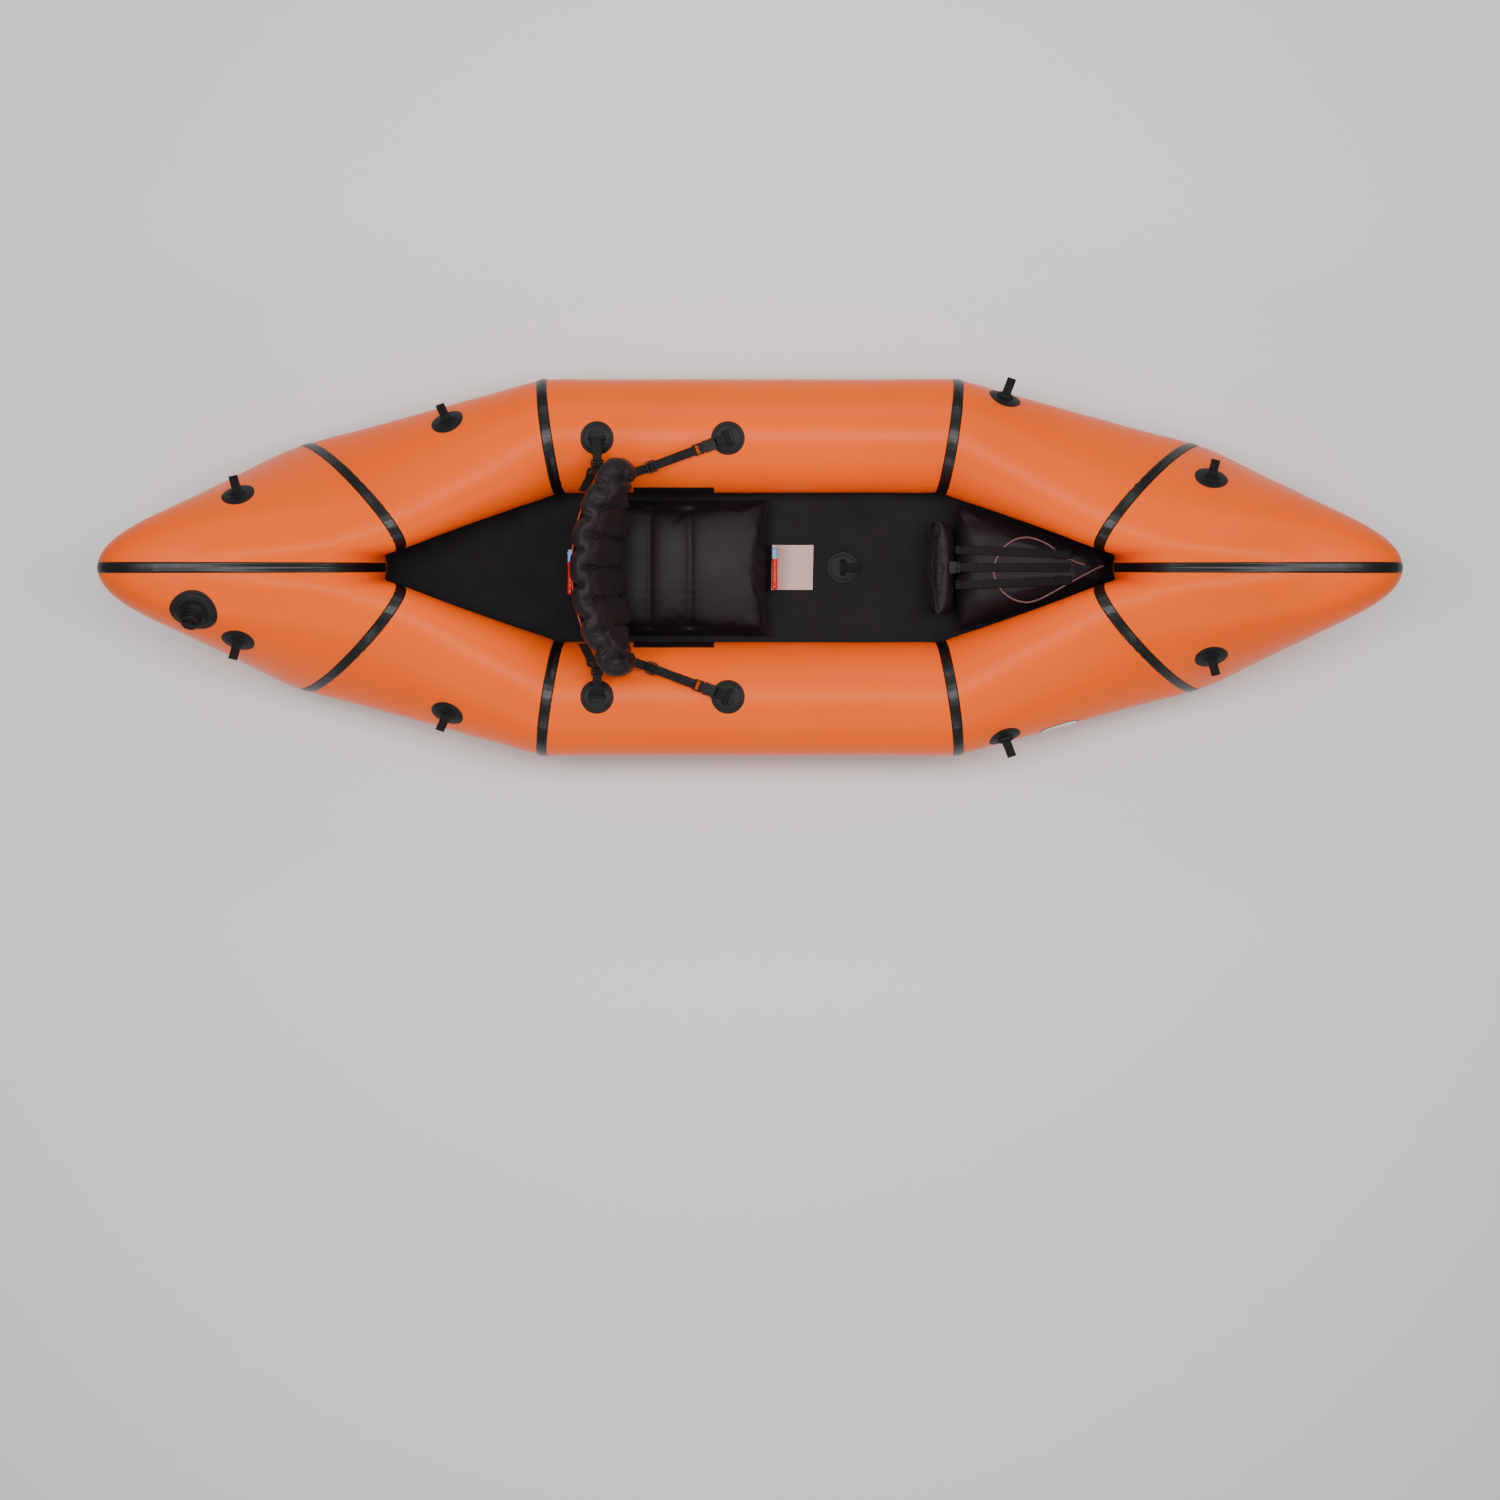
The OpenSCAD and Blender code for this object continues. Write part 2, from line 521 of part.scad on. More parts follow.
// Point of the backrest at swing f, radius r and height z, with the backward lean
function back_point(f, r, z) = [back_x - r * cos(f) - (z - hinge_z) * tan(back_lean), r * sin(f), z];
module backrest_cushion() {
    sides = 20;
    swings = concat([-swing_max, -0.97 * swing_max, -0.88 * swing_max], [-wing_swing, -25, -body_swing, -14, -7, 0,
        7, 14, body_swing, 25, wing_swing], [0.88 * swing_max, 0.97 * swing_max, swing_max]);
    color(soft_black) afloat() skin([for (f = swings)
        let (k = abs(f) > 0.99 * swing_max ? 0.55 : abs(f) > 0.95 * swing_max ? 0.85 : 1,
            mid = (back_high(f) + back_low(f)) / 2, half = (back_high(f) - back_low(f)) / 2 * k)
        [for (j = [0:sides - 1]) let (q = squircle(back_t / 2 * k, half, j * 360 / sides, 2.6))
            back_point(f, back_r + q[0], mid + q[1])]]);
}
module backrest_panel() {
    near = back_r + back_t / 2 + 0.8;
    far = near + 3;
    reach = 20;
    low = back_bottom + 30;
    high = back_top - 24;
    color("black") afloat() skin([for (i = [-5:5]) let (f = i * reach / 5)
        [back_point(f, far, low), back_point(f, far, high), back_point(f, near, high),
            back_point(f, near, low)]]);
}
back_mouth = back_point(0, back_r + back_t / 2 + 4.4 + mouth_r, 315) + [0, -50, 0];
module backrest_valve_tube() { color("red") afloat() translate(back_mouth) mouth_tube(mouth_l); }
module backrest_valve_tip() { color("lightblue") afloat() translate(back_mouth) mouth_tip(mouth_l); }

// ---------- backrest straps ----------
wing_end = back_point(swing_max, back_r - back_t / 2 + 8, wing_bottom + 8) + [0.5, 3.5, 0];
bar_place = hull_at(tube_s(front_patch_x), strap_patch_v, -1) + bar_h * hull_normal(tube_s(front_patch_x),
    strap_patch_v, -1);
strap_start = [-bar_place[0], bar_place[1], bar_place[2]];
strap_run = wing_end - strap_start;
strap_x = unit([strap_run[0], strap_run[1], 0]);
strap_y = cross([0, 0, 1], strap_x);
strap_l = norm([strap_run[0], strap_run[1]]);
// Point of the front strap: x along it from the patch's bar, z above the bar
function strap_at(x, z) = strap_start + x * strap_x + [0, 0, z];
module on_strap(x) {
    multmatrix([[strap_x[0], strap_y[0], 0, strap_start[0] + x * strap_x[0]],
        [strap_x[1], strap_y[1], 0, strap_start[1] + x * strap_x[1]], [0, 0, 1, strap_start[2]], [0, 0, 0, 1]])
        children();
}
socket_bar = 24;
plug_bar = 78;
buckle_w = web_w + 8;
glide_x = strap_l - 22;
module cross_bar(x, r) {
    translate([x, 0, 0]) rotate([90, 0, 0]) cylinder(r = r, h = buckle_w - 4, center = true, $fn = 24);
}
module buckle_socket() {
    difference() {
        translate([socket_bar + 6, -buckle_w / 2, -4.5]) cube([28, buckle_w, 9]);
        translate([socket_bar + 9, -buckle_w / 2 + 2.5, -2.8]) cube([28, buckle_w - 5, 5.6]);
    }
    for (k = [1, -1]) translate([socket_bar - 3, k * (buckle_w / 2 - 1.5) - 1.5, -3]) cube([10, 3, 6]);
    cross_bar(socket_bar, 2);
}
module buckle_plug() {
    prong = socket_bar + 12;
    for (k = [1, -1]) translate([prong, k * 7.5 - 2, -2.2]) cube([24, 4, 4.4]);
    translate([prong + 2, -2, -1.5]) cube([22, 4, 3]);
    translate([socket_bar + 35, -buckle_w / 2 + 1, -3.5]) cube([10, buckle_w - 2, 7]);
    for (k = [1, -1]) translate([plug_bar - 10, k * (buckle_w / 2 - 2.5) - 1.5, -2.5]) cube([13, 3, 5]);
    cross_bar(plug_bar, 2);
}
// Flat slider with a middle bar, centred on the origin, for webbing that runs along local x
module slider() {
    difference() {
        cube([22, web_w + 8, 3], center = true);
        for (k = [1, -1]) translate([k * 4.5, 0, 0]) cube([6, web_w + 1.4, 5], center = true);
    }
}
// Webbing's path through a slider at x, as [x, height] pairs
function weave(x) = [[x - 14, -2.7], [x - 7, -2.7], [x - 1.9, 2.7], [x + 1.9, 2.7], [x + 7, -2.7], [x + 14.5, -2.7]];
module front_strap_anchors() {
    color(web_black) afloat() for (side = [1, -1]) on_side(side) on_strap(0) rotate([0, 90, 0]) rotate(90)
        web_loop(socket_bar, bar_r + 0.8);
}
module buckle_sockets() {
    color("black") afloat() for (side = [1, -1]) on_side(side) on_strap(0) buckle_socket();
}
module plug(side) { color("black") afloat() on_side(side) on_strap(0) buckle_plug(); }
module front_straps() {
    path = concat([[plug_bar + 3.2, -0.5]], weave(glide_x), [[strap_l, wing_end[2] - strap_start[2]]]);
    color(web_black) afloat() for (side = [1, -1]) on_side(side)
        webbing([for (p = path) strap_at(p[0], p[1])], [for (p = path) [0, 0, 1]], web_w, web_t);
}
module tri_glides() {
    color("black") afloat() for (side = [1, -1]) on_side(side) on_strap(glide_x) slider();
}
rear_place = hull_at(tube_s(rear_patch_x), strap_patch_v, -1) + bar_h * hull_normal(tube_s(rear_patch_x),
    strap_patch_v, -1);
rear_start = [-rear_place[0], rear_place[1], rear_place[2]];
rear_end = back_point(32, back_r + back_t / 2 + 9.4, 336);
rear_run = rear_end - rear_start;
rear_x = unit(rear_run);
rear_y = [1, 0, 0];
rear_z = unit(cross(rear_x, rear_y));
rear_l = norm(rear_run);
function rear_at(x, z) = rear_start + x * rear_x + z * rear_z;
module rear_straps() {
    lock = rear_l - 20;
    tail = [[0, 7, -17], [-6, 4, -50], [-12, -6, -92], [-24, -22, -132], [-34, -34, -170]];
    end_at = rear_at(rear_l - 4, -2.7);
    path = concat([for (p = concat([[5.2, 0]], weave(lock))) rear_at(p[0], p[1])],
        [for (p = tail) end_at + [p[0] - 12, p[1] - 8, p[2]]]);
    color(web_black) afloat() for (side = [1, -1]) on_side(side)
        webbing(path, [for (i = [0:len(path) - 1]) cross(rear_y, unit(path[min(i + 1, len(path) - 1)]
            - path[max(0, i - 1)]))], web_w, web_t);
}
module ladder_locks() {
    p = rear_at(rear_l - 20, 0);
    color("black") afloat() for (side = [1, -1]) on_side(side) multmatrix([[rear_x[0], rear_y[0], -rear_z[0], p[0]],
        [rear_x[1], rear_y[1], -rear_z[1], p[1]], [rear_x[2], rear_y[2], -rear_z[2], p[2]], [0, 0, 0, 1]])
        slider();
}

// ---------- foot brace ----------
foot_aft = seam_x + 22;
foot_fore = foot_aft + foot_length;
foot_gap = 9;
foot_taper = 0.1;               // share of its height that the cushion loses towards the bow
function v_half(x) = cockpit_half - max(0, x - mid_ring(180)[0]) * (mid_ring(180)[1] - end_ring(180)[1])
    / (end_ring(180)[0] - mid_ring(180)[0]);
function foot_round(u) = 1 - 0.45 * pow(abs(2 * u - 1), 8);
function foot_half(u) = foot_h / 2 * (1 - foot_taper * u);
function foot_top(x) = let (u = (x - foot_aft) / foot_length)
    base_z + foot_half(u) * (1 + foot_round(max(0, min(1, u))));
module foot_cushion() {
    stations = [0, 0.03, 0.1, 0.3, 0.6, 0.8, 0.88, 0.93, 0.97, 1];
    sides = 20;
    color(soft_black) afloat() skin([for (u = stations)
        let (x = foot_aft + u * foot_length, w = (v_half(x) - foot_gap) * (1 - 0.12 * pow(abs(2 * u - 1), 8)))
        [for (j = [0:sides - 1]) let (q = squircle(w, foot_half(u) * foot_round(u), j * 360 / sides, 4))
            [x, q[0], base_z + foot_half(u) + q[1]]]]);
}
bolster_x = foot_aft - bolster_d / 2 - 6;
bolster_half = 107;
module foot_bolster() {
    color(soft_black) afloat() translate([bolster_x, bolster_half, base_z]) rotate([90, 0, 0])
        linear_extrude(2 * bolster_half) {
            translate([-bolster_d / 2, bolster_d / 2]) square([bolster_d, foot_h - bolster_d]);
            for (z = [bolster_d / 2, foot_h - bolster_d / 2]) translate([0, z]) circle(d = bolster_d, $fn = 48);
        }
}
foot_strap_y = 40;
foot_strap_reach = 258;
// Height of the middle of a strap that lies over the elastic cord
function strap_z(x) = foot_top(x) + elastic_d + 3 * gap + web_t / 2;
foot_buckle_x = foot_aft - 5;
foot_buckle_z = base_z + foot_h + 1.8;
module foot_straps() {
    a = foot_aft + 20;
    b = foot_aft + foot_strap_reach;
    stops = [for (k = [0:6]) a + (b - a) * k / 6];
    aft_end = [[foot_aft - 3, base_z + foot_h * 0.8], [foot_aft - 3, base_z + foot_h + 2]];
    color(web_black) afloat() {
        for (y = [foot_strap_y, -foot_strap_y])
            webbing(concat([for (p = aft_end) [p[0], y, p[1]]], [for (x = stops) [x, y * (1 - 0.25 * (x - a)
                / (b - a)), strap_z(x)]]), [for (i = [0:8]) i < 1 ? [-1, 0, 0] : i < 2 ? [-1, 0, 1] : [0, 0, 1]],
                web_w, web_t);
        webbing(concat([[foot_buckle_x + 10.4, 0, foot_buckle_z]], [for (x = stops) [x, 0, strap_z(x)]]),
            [for (i = [0:7]) [0, 0, 1]], web_w, web_t);
    }
}
module foot_buckle_socket() {
    color("black") afloat() translate([foot_buckle_x, 0, foot_buckle_z]) difference() {
        translate([-16, -buckle_w / 2, -4]) cube([17, buckle_w, 8]);
        translate([-12, -buckle_w / 2 + 2.5, -2.5]) cube([17, buckle_w - 5, 5]);
    }
}
module foot_buckle_plug() {
    color("black") afloat() translate([foot_buckle_x, 0, foot_buckle_z]) {
        for (k = [1, -1]) translate([-9, k * 7.5 - 2, -2]) cube([16, 4, 4]);
        translate([2, -buckle_w / 2 + 1, -3]) cube([8, buckle_w - 2, 6]);
    }
}
// Elastic cord laid in one long loop on the foot cushion, from the cockpit's point and back to an eyelet.
// Each point is [ahead of the cushion's aft end, to port].
cord_route = [[338, 4], [318, -3], [285, -20], [248, -40], [216, -58], [184, -74], [157, -80], [129, -74],
    [103, -56], [87, -30], [81, -4], [89, 22], [107, 48], [131, 64], [159, 69], [187, 62], [211, 50],
    [239, 28], [268, 14], [292, 6]];
cord_sides = 8;
function cord_point(i) = let (p = cord_route[max(0, min(len(cord_route) - 1, i))],
    x = foot_aft + p[0] * foot_length / 345) [x, p[1], foot_top(x) + 2 * gap + elastic_d / 2];
function cord_curve(t) = let (i = min(floor(t), len(cord_route) - 2), f = t - i, a = cord_point(i - 1),
    b = cord_point(i), c = cord_point(i + 1), d = cord_point(i + 2))
    0.5 * (2 * b + (c - a) * f + (2 * a - 5 * b + 4 * c - d) * f * f + (3 * b - a - 3 * c + d) * f * f * f);
module foot_cord() {
    rings = 60;
    span = len(cord_route) - 1;
    color("brown") afloat() skin([for (i = [0:rings])
        let (t = span * i / rings, q = unit(cord_curve(min(span, t + 0.05)) - cord_curve(max(0, t - 0.05))),
            a = unit(cross(q, [0, 0, 1])), b = cross(a, q))
        [for (j = [0:cord_sides - 1]) let (v = -j * 360 / cord_sides)
            cord_curve(t) + elastic_d / 2 * (cos(v) * a + sin(v) * b)]]);
}
module foot_cord_eyelets() {
    last = cord_point(len(cord_route) - 1);
    color("black") afloat() translate([last[0] + 3.2, last[1], last[2]]) rotate([0, 90, 0])
        cylinder(r = elastic_d / 2 + 1.1, h = 6, $fn = 24);
}
// ---------- badge ----------
module hull_badge() {
    l = 92;
    h = 40;
    rows = 6;
    f = [0.44, 7];
    function at(i, j, lift) = near_hull(f[0], f[1], 1, -l / 2 + l * i / rows, -h / 2 + h * j, lift);
    color("white") afloat() on_side(-1) skin([for (i = [0:rows])
        [at(i, 0, 1.9), at(i, 0.5, 1.9), at(i, 1, 1.9), at(i, 1, 0.8), at(i, 0.5, 0.8), at(i, 0, 0.8)]]);
}

side_tube();  // side_tube_port
on_side(-1) side_tube();  // side_tube_starboard
quarter_tube(-1);  // stern_quarter_tube_port
on_side(-1) quarter_tube(-1);  // stern_quarter_tube_starboard
quarter_tube(1);  // bow_quarter_tube_port
on_side(-1) quarter_tube(1);  // bow_quarter_tube_starboard
end_cone(-1);  // stern_cone
end_cone(1);  // bow_cone
mid_seam_tapes();
end_seam_tapes();
centre_tape(-1);  // stern_centre_tape
centre_tape(1);  // bow_centre_tape
floor_sheet();
patch_discs();
patch_bridges();
grab_loop(grab_places[0], 1);  // grab_loop_stern_quarter_port
grab_loop(grab_places[0], -1);  // grab_loop_stern_quarter_starboard
grab_loop(grab_places[1], 1);  // grab_loop_stern_cone_port
grab_loop(grab_places[1], -1);  // grab_loop_stern_cone_starboard
grab_loop(grab_places[2], 1);  // grab_loop_bow_quarter_port
grab_loop(grab_places[2], -1);  // grab_loop_bow_quarter_starboard
grab_loop(grab_places[3], 1);  // grab_loop_bow_cone_port
grab_loop(grab_places[3], -1);  // grab_loop_bow_cone_starboard
floor_loop();
valve_patch();
valve_body();
valve_flap();
valve_cap();
valve_tether();
fin_patch();
fin_box();
fin_blade();
seat_cushion();
seat_side_bands();
seat_valve_tube();
seat_valve_tip();
care_tag();
backrest_cushion();
backrest_panel();
backrest_valve_tube();
backrest_valve_tip();
front_strap_anchors();
buckle_sockets();
plug(1);  // buckle_plug_port
plug(-1);  // buckle_plug_starboard
front_straps();
tri_glides();
rear_straps();
ladder_locks();
foot_cushion();
foot_bolster();
foot_straps();
foot_buckle_socket();
foot_buckle_plug();
foot_cord();
foot_cord_eyelets();
hull_badge();
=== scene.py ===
import math

import bmesh
import bpy
import numpy as np
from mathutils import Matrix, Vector


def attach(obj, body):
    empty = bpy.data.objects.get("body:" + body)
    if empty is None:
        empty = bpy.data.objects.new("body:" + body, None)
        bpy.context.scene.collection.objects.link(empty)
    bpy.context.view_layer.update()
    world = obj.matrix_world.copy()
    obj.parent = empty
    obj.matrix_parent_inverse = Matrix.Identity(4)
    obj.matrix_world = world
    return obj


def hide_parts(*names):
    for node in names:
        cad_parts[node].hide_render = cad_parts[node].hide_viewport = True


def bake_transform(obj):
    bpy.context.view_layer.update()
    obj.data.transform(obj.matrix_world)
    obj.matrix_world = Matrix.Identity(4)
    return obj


bl_info = {
    "name": "Inflatable Packraft Kayak",
    "version": (1, 0, 0),
    "blender": (4, 5, 0),
    "location": "3D View > Sidebar > Kayak",
    "description": "Builds the visible pieces of a solo inflatable packraft kayak round its packed CAD frame",
    "category": "Object",
}

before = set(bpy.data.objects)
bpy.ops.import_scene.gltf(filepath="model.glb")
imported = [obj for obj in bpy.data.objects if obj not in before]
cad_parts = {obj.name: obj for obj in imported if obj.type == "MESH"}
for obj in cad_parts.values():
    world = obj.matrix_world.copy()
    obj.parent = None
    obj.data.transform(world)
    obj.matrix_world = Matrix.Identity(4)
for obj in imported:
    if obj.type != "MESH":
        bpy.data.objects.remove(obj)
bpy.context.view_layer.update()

# Sizes in millimetres, in the hull's own frame: tube undersides at z = 0, +X to the bow, +Y to port.
FIN_DEPTH = 118.0
HULL_LENGTH = 2876.0
TUBE_R = 129.5
TUBE_Y = 300.5
SEAM_X = 455.0
QUARTER_LENGTH = 475.0
TOE_IN = 17.0
DECK_HEIGHT = 364.0
END_TUBE_HEIGHT = 296.0
END_DIP = 40.0
END_REACH = TUBE_R + 29.5
END_TURN = 40.9
END_LEAN = (-82.0, -25.0)
BOW_LIFT = 16.0
TAPE_W = 25.0
FLOOR_TOP = -2.2
BASE_Z = -1.9
COCKPIT_HALF = TUBE_Y - TUBE_R
WEB_W = 20.0
WEB_T = 1.4
BAR_H = 10.1
GRAB_LENGTH = 38.0

CONE_OUTLINE = np.array([
    [0.925, 0.3], [0.977, 0.6], [0.998, 0.865], [0.89, 1], [0.655, 0.995], [0.375, 0.955],
    [0.15, 0.845], [0.045, 0.665], [0, 0.41], [0.012, 0.18], [0.066, 0.027], [0.19, 0],
    [0.415, 0], [0.663, 0], [0.813, 0.069], [0.89, 0.18]])
GRAB_PLACES = {
    "stern_quarter": (-1, 0.45, 38.0), "stern_cone": (-1, 1.34, 50.0),
    "bow_quarter": (1, 0.21, 25.0), "bow_cone": (1, 1.17, 45.0)}
STRAP_PLACES = {"front": (51.0, 66.0), "rear": (343.0, 0.0)}
STRAP_V = 95.5
FLOOR_PATCH_X = 218.0


# ---------- small maths ----------
def cos_deg(a):
    return np.cos(np.radians(a))


def sin_deg(a):
    return np.sin(np.radians(a))


def stack(*parts):
    """Coordinates broadcast together and put side by side in the last axis."""
    return np.stack(np.broadcast_arrays(*[np.asarray(p, float) for p in parts]), -1)


def unit(a):
    return a / np.maximum(np.linalg.norm(a, axis=-1, keepdims=True), 1e-12)


def smooth_step(a, b, x):
    """0 below a, 1 above b, and a cubic ease between them."""
    t = np.clip((np.asarray(x, float) - a) / (b - a), 0, 1)
    return t * t * (3 - 2 * t)


def bell(x, at, width):
    """A smooth bump of height 1 at the given place, as wide as width on each side."""
    return np.exp(-(((np.asarray(x, float) - at) / width) ** 2))


def power_wave(angle, power):
    """Cosine and sine with their sizes raised to 2 / power, which makes a circle a rounded square."""
    c, s = cos_deg(angle), sin_deg(angle)
    return np.sign(c) * np.abs(c) ** (2 / power), np.sign(s) * np.abs(s) ** (2 / power)


def curve_through(points, count):
    """Catmull-Rom curve through the points, sampled count times at equal steps of its own length."""
    p = np.asarray(points, float)
    p = np.vstack([2 * p[0] - p[1], p, 2 * p[-1] - p[-2]])
    t = np.linspace(0, len(p) - 3 - 1e-9, count * 8)
    i = np.floor(t).astype(int)
    f = (t - i)[:, None]
    a, b, c, d = p[i], p[i + 1], p[i + 2], p[i + 3]
    q = 0.5 * (2 * b + (c - a) * f + (2 * a - 5 * b + 4 * c - d) * f**2 + (3 * b - a - 3 * c + d) * f**3)
    walked = np.concatenate([[0], np.cumsum(np.linalg.norm(np.diff(q, axis=0), axis=1))])
    at = np.linspace(0, walked[-1], count)
    return np.stack([np.interp(at, walked, q[:, k]) for k in range(p.shape[1])], -1)


def ripples(x, seed, low, high, count=6):
    """Sum of a few sine waves of seeded frequency between low and high, scaled to about one."""
    rng = np.random.default_rng(seed)
    total = 0.0
    for _ in range(count):
        total = total + np.sin(x * rng.uniform(low, high) + rng.uniform(0, 6.283)) * rng.uniform(0.5, 1)
    return total / (0.55 * count)


def lumps(points, seed, size, count=14):
    """Smooth seeded unevenness in space: a sum of plane waves of about the given size in every direction."""
    rng = np.random.default_rng(seed)
    total = 0.0
    for _ in range(count):
        way = unit(rng.normal(size=3)) * 6.283 / (size * rng.uniform(0.7, 1.6))
        total = total + np.sin(np.asarray(points) @ way + rng.uniform(0, 6.283))
    return total / math.sqrt(count)


# ---------- hull surface ----------
END_X = SEAM_X + QUARTER_LENGTH * cos_deg(TOE_IN)
END_Y = TUBE_Y - QUARTER_LENGTH * sin_deg(TOE_IN)
END_RISE = math.sqrt((END_TUBE_HEIGHT / 2) ** 2 - END_DIP**2)
POINT_X = END_X - 74
TIP_X = HULL_LENGTH / 2


def bump_at(v, at, half):
    w = np.asarray(v, float) % 360
    return np.where(np.abs(w - at) < half, cos_deg((w - at) * 90 / half), 0)


def mid_ring(v):
    """Circle of the tube at the middle seam, in the plane that halves the toe-in angle."""
    return stack(SEAM_X + TUBE_R * np.tan(np.radians(TOE_IN / 2)) * cos_deg(v), TUBE_Y + TUBE_R * cos_deg(v),
                 TUBE_R + TUBE_R * sin_deg(v))


def end_ring(v):
    """Ellipse of the tube at the end seam: turned in plan, leaning amidships and dipping outboard."""
    return stack(END_X + cos_deg(v) * END_REACH * sin_deg(END_TURN) + sin_deg(v) * END_LEAN[0],
                 END_Y + cos_deg(v) * END_REACH * cos_deg(END_TURN) + sin_deg(v) * END_LEAN[1],
                 END_TUBE_HEIGHT / 2 - cos_deg(v) * END_DIP + sin_deg(v) * END_RISE)


def stem_line(v, end):
    """Smooth closed curve on the centreline through the cone's outline points, one point for each angle."""
    n = len(CONE_OUTLINE)
    u = (np.asarray(v, float) % 360) / 360 * n
    i = np.floor(u).astype(int)
    f = (u - i)[..., None]
    a, b, c, d = [CONE_OUTLINE[(i + k) % n] for k in (-1, 0, 1, 2)]
    q = 0.5 * (2 * b + (c - a) * f + (2 * a - 5 * b + 4 * c - d) * f**2 + (3 * b - a - 3 * c + d) * f**3)
    lift = BOW_LIFT * bump_at(v, 300, 45) if end > 0 else 0.0
    return stack(POINT_X + (TIP_X - POINT_X) * q[..., 0], 0 * q[..., 0],
                 np.maximum(0, DECK_HEIGHT * q[..., 1]) + lift)


def swell(v):
    return 35 * np.maximum(0, cos_deg(np.asarray(v) - 45)) ** 2


def cone_spread(v):
    return 24 + 80 * (1 + cos_deg(np.asarray(v) - 25)) / 2 + 0.4 * swell(v)


def cone_surface(w, v, end):
    """Cubic Bezier from the end seam (w = 0) to the centreline (w = 1), full at the shoulder."""
    p0, p1 = end_ring(v), stem_line(v, end)
    lead = unit(0.7 * unit(p0 - mid_ring(v)) + 0.3 * unit(p1 - p0))
    run = np.linalg.norm(p1 - p0, axis=-1, keepdims=True)
    full = swell(v)
    c0 = p0 + 0.36 * run * lead + stack(0 * full, 0.55 * full, 0.85 * full)
    c1 = p1 + stack(0 * full, cone_spread(v), 25 * bump_at(v, 135, 45))
    w = np.asarray(w, float)[..., None]
    return (1 - w) ** 3 * p0 + 3 * (1 - w) ** 2 * w * c0 + 3 * (1 - w) * w**2 * c1 + w**3 * p1


def hull_surface(s, v, end):
    """Port bow quarter of the hull: s runs -1 amidships, 0 middle seam, 1 end seam, 2 centreline."""
    s, v = np.broadcast_arrays(np.asarray(s, float), np.asarray(v, float))
    a, b = mid_ring(v), end_ring(v)
    side = a + stack(SEAM_X * s, 0, 0)
    quarter = a + (b - a) * s[..., None]
    cone = cone_surface(np.maximum(s - 1, 0), v, end)
    return np.where(s[..., None] < 0, side, np.where(s[..., None] <= 1, quarter, cone))


def hull_axes(s, v, end):
    """Direction along the hull, across it and out of it, with the two surface derivatives."""
    ds = (hull_surface(s + 0.004, v, end) - hull_surface(s - 0.004, v, end)) / 0.008
    dv = hull_surface(s, v + 0.5, end) - hull_surface(s, v - 0.5, end)
    out = unit(np.cross(dv, ds))
    along = unit(ds)
    return along, np.cross(out, along), out, ds, dv


def beside(s, v, end, a, b, h):
    """Point of the hull a along and b across from (s, v), seen square to its surface there, and raised by h.
    Newton steps on (s, v) bring the point's own place along and across to a and b."""
    along, across, out, _, _ = hull_axes(np.float64(s), np.float64(v), end)
    origin = hull_surface(s, v, end)
    a, b, h = np.broadcast_arrays(np.asarray(a, float), np.asarray(b, float), np.asarray(h, float))
    s1, v1 = np.full(a.shape, float(s)), np.full(a.shape, float(v))
    for _ in range(6):
        gap = hull_surface(s1, v1, end) - origin
        miss_a, miss_b = a - gap @ along, b - gap @ across
        ds, dv = hull_axes(s1, v1, end)[3:]
        area = (ds @ along) * (dv @ across) - (ds @ across) * (dv @ along)
        s1 = s1 + (miss_a * (dv @ across) - miss_b * (dv @ along)) / area
        v1 = v1 + (miss_b * (ds @ along) - miss_a * (ds @ across)) / area
    return hull_surface(s1, v1, end) + h[..., None] * hull_axes(s1, v1, end)[2]


def mirrored(points, end=1, side=1):
    """The same points at the stern (end = -1) or to starboard (side = -1)."""
    return points * np.array([end, side, 1.0])


def seam_dip(distance):
    """Fabric pulled in under a welded seam, and standing a little proud beyond it."""
    return -0.9 * np.exp(-((distance / 11) ** 2)) + 0.8 * np.exp(-(((distance - 52) / 30) ** 2))


def seam_pucker(distance, v, seed):
    """Short puckers square to a seam, which fade away from it and are deepest on the inner side of the bend."""
    inner = np.maximum(0, cos_deg(np.asarray(v) - 185)) ** 2
    return (0.16 + 0.8 * inner) * np.exp(-distance / 34) * ripples(np.radians(v), seed, 22, 46)


# ---------- meshes ----------
def grid_faces(rows, columns, close_rows=False, close_columns=True):
    """Quads between neighbouring points of a grid, wrapped where an edge closes on itself."""
    i, j = np.meshgrid(np.arange(rows if close_rows else rows - 1),
                       np.arange(columns if close_columns else columns - 1), indexing="ij")
    i2, j2 = (i + 1) % rows, (j + 1) % columns
    return np.stack([i * columns + j, i2 * columns + j, i2 * columns + j2, i * columns + j2], -1).reshape(-1, 4)


class Shell:
    """Part of a mesh: points in millimetres in the hull's frame, faces, and a place in metres on the cloth."""

    def __init__(self, points, faces, cloth=None):
        self.points = np.asarray(points, float).reshape(-1, 3)
        self.faces = [list(map(int, f)) for f in faces]
        flat = self.points[:, :2] / 1000 if cloth is None else np.asarray(cloth, float).reshape(-1, 2)
        self.cloth = flat

    def at(self, end=1, side=1):
        return Shell(mirrored(self.points, end, side), self.faces, self.cloth)


